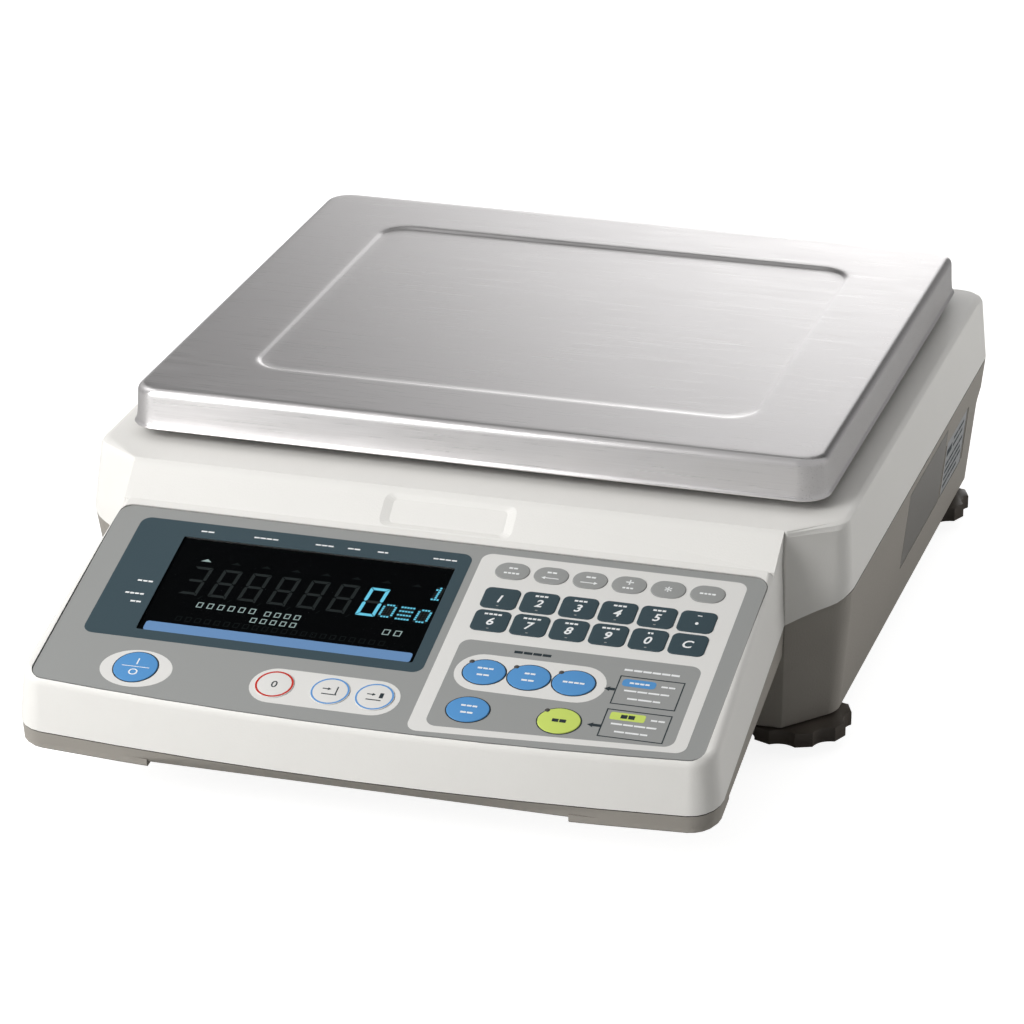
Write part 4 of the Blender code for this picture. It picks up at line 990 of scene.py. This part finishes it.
# The pan's section from the middle outwards and back underneath, as inset and drop below the top
RECESS_PROFILE = ((6.0, 1.0), (2.4, 1.0), (1.7, 0.85), (0.9, 0.35), (0.2, 0.10), (-0.8, 0.0), (-3.0, 0.0))
RIM_PROFILE = ((6.5, 0.0), (3.9, 0.0))
INSIDE_PROFILE = ((PAN_SHEET, 4.0), (PAN_SHEET + 0.6, 2.2), (PAN_SHEET + 2.2, PAN_SHEET))
UNDER_RECESS_PROFILE = ((0.4, PAN_SHEET), (3.6, PAN_SHEET + 1.0))
# The skirt and its rolled lip, as inset and height above the lip
SKIRT_PROFILE = ((-0.2, 6.0), (-0.55, 2.2), (-0.85, 1.2), (-1.35, 0.75), (-1.5, 0.35), (-1.3, 0.0),
                 (0.0, 0.0), (0.55, 0.3), (0.9, 1.6))


def pan_ring(inset, level, half=PAN_HALF, corner=PAN_CORNER):
    radius = max(corner - inset * CORNER_SHRINK, SMALLEST_CORNER)
    outline = rounded_rectangle(half[0] - inset, half[1] - inset, radius, PAN_CORNER_STEPS)
    return ring_at(shifted(outline, 0.0, PAN_Y), level)


def recess_rings(profile):
    return [pan_ring(inset, PAN_TOP - drop, PAN_RECESS_HALF, RECESS_CORNER) for inset, drop in profile]


def bend_rings():
    """The rounded edge between the pan's top and its skirt."""
    rings = []
    for index in range(1, BEND_STEPS + 1):
        angle = math.pi / 2 * index / BEND_STEPS
        inset = PAN_BEND + 0.1 - PAN_BEND * math.sin(angle)
        rings.append(pan_ring(inset, PAN_TOP - PAN_BEND + PAN_BEND * math.cos(angle)))
    return rings


def make_pan():
    rings = recess_rings(RECESS_PROFILE)
    rings += [pan_ring(inset, PAN_TOP - drop) for inset, drop in RIM_PROFILE]
    rings += bend_rings()
    rings += [pan_ring(inset, PAN_LIP + rise) for inset, rise in SKIRT_PROFILE]
    rings += [pan_ring(inset, PAN_TOP - drop) for inset, drop in INSIDE_PROFILE]
    rings += recess_rings(UNDER_RECESS_PROFILE)
    pan = loft("pan_sheet", rings, "steel", None, SMOOTH_PAN_TO)
    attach(pan, "weighing_pan")
    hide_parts("weighing_pan")


# Feet

WHEEL_LOBES = 8
WHEEL_RADIUS = 23.5
LOBE_SHARE = 0.40
GROOVE_DEPTH = 2.6
GROOVE_STEPS = 9
GROOVE_ROUNDNESS = 0.75
# The wheel's height and how much smaller its outline is there
WHEEL_PROFILE = ((4.6, 0.5), (4.75, 0.15), (5.1, 0.0), (10.5, 0.0), (10.85, 0.15), (11.0, 0.5))
STEM_RADIUS = 4.0
STEM_STEPS = 32
STEM_ENDS = (10.9, 35.6)
SMOOTH_WHEEL_TO = 30.0


def wheel_outline(shrink):
    """A scalloped circle: flat lobes with rounded grooves between them."""
    radii_and_angles = []
    rim = WHEEL_RADIUS - shrink
    pitch = 2 * math.pi / WHEEL_LOBES
    lobe = pitch * LOBE_SHARE
    for index in range(WHEEL_LOBES):
        centre = (index + 0.5) * pitch
        radii_and_angles += [(rim, centre - lobe / 2), (rim, centre + lobe / 2)]
        for step in range(1, GROOVE_STEPS):
            share = step / GROOVE_STEPS
            depth = GROOVE_DEPTH * math.sin(math.pi * share) ** GROOVE_ROUNDNESS
            radii_and_angles.append((rim - depth, centre + lobe / 2 + (pitch - lobe) * share))
    return [(radius * math.cos(angle), radius * math.sin(angle)) for radius, angle in radii_and_angles]


def make_wheels():
    for place in ("front_left", "front_right", "rear_left", "rear_right"):
        node = "foot_wheel_" + place
        low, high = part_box(node)
        x, y = (low.x + high.x) / 2 / MM, (low.y + high.y) / 2 / MM
        shape = bmesh.new()
        add_rings(shape, [ring_at(shifted(wheel_outline(shrink), x, y), z) for z, shrink in WHEEL_PROFILE])
        stem = ellipse(STEM_RADIUS, STEM_RADIUS, (x, y), STEM_STEPS)
        add_rings(shape, [ring_at(stem, z) for z in STEM_ENDS])
        wheel = smooth(mesh_object("hand_wheel_" + place, shape, "wheel"), SMOOTH_WHEEL_TO)
        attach(wheel, node)
        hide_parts(node)


# Side label and spirit level

SIDE_SEAM = (0.165, 0.0, 0.0705)
SIDE_LEAN = math.atan2(0.0062, 0.0578)
FACE_OUTWARDS = Matrix(((0, 0, 1, 0), (1, 0, 0, 0), (0, 1, 0, 0), (0, 0, 0, 1)))

# The label's bars: a block, then rows as distance along the wall, height and widths
LABEL_BLOCK = (141.5, -19.5, 11.0, 3.2)
LABEL_ROWS = (
    (150.5, -17.2, (9.0, 12.0)), (150.5, -20.8, (14.0, 6.0)), (137.0, -25.5, (7.0, 10.0, 9.0, 8.0)),
    (137.0, -29.0, (12.0, 8.0, 12.0)), (137.0, -32.5, (8.0, 12.0, 6.0, 8.0)),
    (137.0, -36.0, (10.0, 6.0, 12.0)))
LABEL_BAR_HEIGHT = 1.3
LABEL_BAR_GAP = 1.2
LABEL_LEVELS = (-0.1, -0.04)


def make_label_marks():
    """Plain bars on the label of the right-hand wall: x runs backwards, y up the wall."""
    wall = Matrix.Translation(SIDE_SEAM) @ Matrix.Rotation(SIDE_LEAN, 4, 'Y') @ FACE_OUTWARDS
    bars = [bar(*LABEL_BLOCK)]
    for u, v, widths in LABEL_ROWS:
        for width in widths:
            bars.append(bar(u + width / 2, v, width, LABEL_BAR_HEIGHT))
            u += width + LABEL_BAR_GAP
    marks = plate("label_marks", bars, *LABEL_LEVELS, "ink_dark", wall)
    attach(marks, "base")


VIAL_AT = (-112.0, 178.0)
VIAL_GLASS_TOP = 101.9
RIM_STEPS = 40
BUBBLE_STEPS = 24
# Radii and heights of the black rim, of the bubble over the glass, and of the ring mark
VIAL_RIM = ((6.6, 100.9), (9.1, 100.4), (9.2, 101.2), (8.7, 101.7), (6.9, 101.8), (6.4, 101.5))
BUBBLE = ((1.9, -0.3), (2.1, 0.0), (1.7, 0.12), (0.8, 0.18))
VIAL_MARK = (3.0, 2.7)
VIAL_MARK_SPAN = (VIAL_GLASS_TOP - 0.1, VIAL_GLASS_TOP + 0.06)


def vial_ring(radius, level, steps):
    return ring_at(ellipse(radius, radius, VIAL_AT, steps), level)


def make_vial_details():
    """The black rim, the ring mark and the bubble of the spirit level."""
    shape = bmesh.new()
    add_tube(shape, [vial_ring(radius, level, RIM_STEPS) for radius, level in VIAL_RIM])
    rim = smooth(mesh_object("vial_rim", shape, "dark_plastic"), SMOOTH_CAPS_TO)
    bubble_rings = [vial_ring(radius, VIAL_GLASS_TOP + rise, BUBBLE_STEPS) for radius, rise in BUBBLE]
    bubble = loft("vial_bubble", bubble_rings, "film_pale", None, SMOOTH_PAN_TO)
    circles = [ellipse(radius, radius, VIAL_AT) for radius in VIAL_MARK]
    mark = plate("vial_mark", circles, *VIAL_MARK_SPAN, "ink_dark", None)
    for piece in (rim, bubble, mark):
        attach(piece, "base")


# CAD parts that are shown as they are

CAD_LOOKS = {
    "top_case": "case_white", "bottom_case": "case_gray", "pan_support": "cast", "load_cell": "cast",
    "chassis_plate": "cast", "keypad_overlay": "film_gray", "display_lens": "lens",
    "display_tube": "tube_black", "key_board": "board", "main_board": "board",
    "power_transformer": "dark_plastic", "power_inlet": "dark_plastic", "serial_port": "cast",
    "side_cover": "cover", "rating_label": "label", "level_vial": "vial"}

# Angles in degrees; the scoop's box as middle and half span, and bevel widths in millimetres
SHARP_FROM = 32.0
SCOOP_SHARP_FROM = 5.0
SCOOP_X = (0.0, 0.0335)
SCOOP_Y = (-0.0932, 0.0079)
BEVELLED = {"top_case": 0.45, "bottom_case": 0.15}
BEVEL_FROM = 30.0
FLAT_WITHIN = 0.3
CORNER_JOIN = 0.002 * MM


def sharp_edges(nodes, links):
    """Which edges stay sharp: steep ones, and gentle ones too in the front band's scoop."""
    fold = nodes.new("GeometryNodeInputMeshEdgeAngle").outputs["Unsigned Angle"]
    sharp = node_math(nodes, links, 'GREATER_THAN', fold, math.radians(SHARP_FROM))
    split = nodes.new("ShaderNodeSeparateXYZ")
    links.new(nodes.new("GeometryNodeInputPosition").outputs["Position"], split.inputs["Vector"])
    across = node_math(nodes, links, 'COMPARE', split.outputs["X"], *SCOOP_X)
    along = node_math(nodes, links, 'COMPARE', split.outputs["Y"], *SCOOP_Y)
    folded = node_math(nodes, links, 'GREATER_THAN', fold, math.radians(SCOOP_SHARP_FROM))
    rim = product(nodes, links, product(nodes, links, across, along), folded)
    either = nodes.new("ShaderNodeMath")
    either.operation = 'MAXIMUM'
    links.new(sharp, either.inputs[0])
    links.new(rim, either.inputs[1])
    return either.outputs["Value"]


def make_skin():
    """A node modifier that joins the loose triangles and smooths all but the sharp edges."""
    group = bpy.data.node_groups.new("joined_skin", 'GeometryNodeTree')
    group.interface.new_socket("Geometry", in_out='INPUT', socket_type='NodeSocketGeometry')
    group.interface.new_socket("Geometry", in_out='OUTPUT', socket_type='NodeSocketGeometry')
    nodes, links = group.nodes, group.links
    source, target = nodes.new("NodeGroupInput"), nodes.new("NodeGroupOutput")
    join = nodes.new("GeometryNodeMergeByDistance")
    join.inputs["Distance"].default_value = CORNER_JOIN
    normals = nodes.new("GeometryNodeSetMeshNormal")
    normals.mode = 'SHARPNESS'
    links.new(source.outputs["Geometry"], join.inputs["Geometry"])
    links.new(join.outputs["Geometry"], normals.inputs["Mesh"])
    links.new(sharp_edges(nodes, links), normals.inputs["Edge Sharpness"])
    links.new(normals.outputs["Mesh"], target.inputs["Geometry"])
    return group


def cad_look(name):
    if name.startswith("cell_bolt"):
        return "bolt"
    return CAD_LOOKS.get(name, "rubber")


def dress_cad():
    skin = make_skin()
    for name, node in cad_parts.items():
        if node.hide_render:
            continue
        node.data.materials.clear()
        node.data.materials.append(LOOKS[cad_look(name)])
        node.modifiers.new("joined_skin", 'NODES').node_group = skin
        flat = node.modifiers.new("flat_areas", 'DECIMATE')
        flat.decimate_type = 'DISSOLVE'
        flat.angle_limit = math.radians(FLAT_WITHIN)
        if name in BEVELLED:
            bevel = node.modifiers.new("soft_edges", 'BEVEL')
            bevel.width = BEVELLED[name] * MM
            bevel.segments = 2
            bevel.limit_method = 'ANGLE'
            bevel.angle_limit = math.radians(BEVEL_FROM)
        weighted = node.modifiers.new("even_normals", 'WEIGHTED_NORMAL')
        weighted.keep_sharp = True


# Stage

FLOOR_SIZE = 6000.0
FLOOR_LEVEL = -0.2 * MM
FLOOR_COLOUR = (0.55, 0.55, 0.54)
FLOOR_SPREAD = 0.004
FLOOR_PATCH_SCALE = 0.6
FLOOR_ROUGHNESS = 0.9
FLOOR_SHINE = 0.1
FLOOR_SEEN = 0.88

# The card's glow over its x and z: from value, to value, glow at the first and at the second
CARD_SIZE = 1000.0
CARD_AT = (0.0, 1.0, 1.0)
CARD_ACROSS = (-0.60, 0.0, 0.50, 2.9)
CARD_UPWARD = (0.36, 0.58, 1.20, 0.05)
CARD_FAR_RIGHT = (0.02, 0.30, 1.0, 0.08)

# The world's light falls from the first share to the second towards this direction
DIM_TOWARDS = (0.72, -0.68, 0.10)
WORLD_LIGHT = (-0.05, 0.90, 0.51, 0.05)
WORLD_MIRRORED = 0.44
WORLD_SEEN = 1.0

# Lights as place, target, size and power
KEY_LIGHT = ((-0.78, -1.0, 0.84), (0, 0, 0.05), (0.8, 0.8), 16.2)
TOP_LIGHT = ((-1.0, 0.1, 1.2), (0, 0.05, 0.1), (0.6, 0.6), 2.0)
SIDE_LIGHT = ((1.3, 0.9, 0.20), (0.1, 0.1, 0.05), (0.7, 0.30), 7.4)

CAMERA_LENS = 162.64
CAMERA_SENSOR = 36.0
CAMERA_AT = (0.52433, -1.76226, 0.82609)
CAMERA_AIM = (-0.0105, 0.0353, 0.0427)


def ray_mix(nodes, links, kind, seen, other):
    """One number for rays of a kind and another, fixed or linked, for every other ray."""
    path = nodes.new("ShaderNodeLightPath")
    mix = nodes.new("ShaderNodeMix")
    mix.inputs["B"].default_value = seen
    if isinstance(other, float):
        mix.inputs["A"].default_value = other
    else:
        links.new(other, mix.inputs["A"])
    links.new(path.outputs[kind], mix.inputs["Factor"])
    return mix.outputs["Result"]


def make_floor():
    shape = bmesh.new()
    bmesh.ops.create_grid(shape, x_segments=1, y_segments=1, size=FLOOR_SIZE)
    floor = mesh_object("floor", shape, "ink_white")
    floor.location.z = FLOOR_LEVEL
    made, nodes, links = node_material("floor_white")
    shader = nodes["Principled BSDF"]
    patch = noise(nodes, links, FLOOR_PATCH_SCALE, 1.0)
    links.new(tint(nodes, links, FLOOR_COLOUR, patch, FLOOR_SPREAD), shader.inputs["Base Color"])
    shader.inputs["Roughness"].default_value = FLOOR_ROUGHNESS
    shader.inputs["Specular IOR Level"].default_value = FLOOR_SHINE
    shader.inputs["Emission Color"].default_value = (1, 1, 1, 1)
    seen = ray_mix(nodes, links, "Is Camera Ray", FLOOR_SEEN, 0.0)
    links.new(seen, shader.inputs["Emission Strength"])
    floor.data.materials.clear()
    floor.data.materials.append(made)


def card_glow():
    """Bright low on the card's right, dark higher up and towards its ends."""
    made, nodes, links = node_material("card_glow")
    nodes.remove(nodes["Principled BSDF"])
    place = nodes.new("ShaderNodeTexCoord")
    split = nodes.new("ShaderNodeSeparateXYZ")
    links.new(place.outputs["Object"], split.inputs["Vector"])
    across = slope(nodes, links, split.outputs["X"], *CARD_ACROSS)
    upward = slope(nodes, links, split.outputs["Z"], *CARD_UPWARD)
    far_right = slope(nodes, links, split.outputs["X"], *CARD_FAR_RIGHT)
    both = product(nodes, links, across, upward)
    glow = nodes.new("ShaderNodeEmission")
    links.new(product(nodes, links, both, far_right), glow.inputs["Strength"])
    links.new(glow.outputs["Emission"], nodes["Material Output"].inputs["Surface"])
    return made


def make_card():
    """A card behind the scale that only reflections see."""
    shape = bmesh.new()
    bmesh.ops.create_grid(shape, x_segments=1, y_segments=1, size=CARD_SIZE)
    upright = Matrix.Translation(CARD_AT) @ Matrix.Rotation(math.pi / 2, 4, 'X')
    card = mesh_object("reflection_card", shape, "ink_white", upright)
    card.data.materials.clear()
    card.data.materials.append(card_glow())
    card.visible_camera = False
    card.visible_diffuse = False
    card.visible_shadow = False
    card.visible_transmission = False


def area_light(name, place, target, size, power):
    data = bpy.data.lights.new(name, 'AREA')
    data.shape = 'RECTANGLE'
    data.size, data.size_y = size
    data.energy = power
    light = bpy.data.objects.new(name, data)
    light.location = place
    light.rotation_euler = (Vector(place) - Vector(target)).to_track_quat('Z', 'Y').to_euler()
    bpy.context.scene.collection.objects.link(light)
    return light


def make_world():
    """White to the camera; for the light it is soft and even, but dim towards the front right."""
    world = bpy.data.worlds.new("studio")
    world.use_nodes = True
    nodes, links = world.node_tree.nodes, world.node_tree.links
    place = nodes.new("ShaderNodeTexCoord")
    towards = nodes.new("ShaderNodeVectorMath")
    towards.operation = 'DOT_PRODUCT'
    towards.inputs[1].default_value = DIM_TOWARDS
    links.new(place.outputs["Generated"], towards.inputs[0])
    side = slope(nodes, links, towards.outputs["Value"], *WORLD_LIGHT)
    mirrored = ray_mix(nodes, links, "Is Glossy Ray", WORLD_MIRRORED, side)
    strength = ray_mix(nodes, links, "Is Camera Ray", WORLD_SEEN, mirrored)
    nodes["Background"].inputs["Color"].default_value = (1, 1, 1, 1)
    links.new(strength, nodes["Background"].inputs["Strength"])
    bpy.context.scene.world = world


def make_light():
    make_world()
    area_light("key_light", *KEY_LIGHT)
    area_light("top_light", *TOP_LIGHT)
    area_light("side_light", *SIDE_LIGHT).visible_glossy = False
    bpy.context.scene.view_settings.view_transform = 'Standard'


def make_camera():
    data = bpy.data.cameras.new("camera")
    data.lens = CAMERA_LENS
    data.sensor_width = CAMERA_SENSOR
    camera = bpy.data.objects.new("camera", data)
    camera.location = CAMERA_AT
    camera.rotation_mode = 'QUATERNION'
    camera.rotation_quaternion = (Vector(CAMERA_AIM) - Vector(CAMERA_AT)).to_track_quat('-Z', 'Y')
    bpy.context.scene.collection.objects.link(camera)
    bpy.context.scene.camera = camera


make_keys()
make_print()
make_labels()
make_lamps()
make_display()
make_pan()
make_wheels()
make_label_marks()
make_vial_details()
dress_cad()
make_floor()
make_card()
make_light()
make_camera()
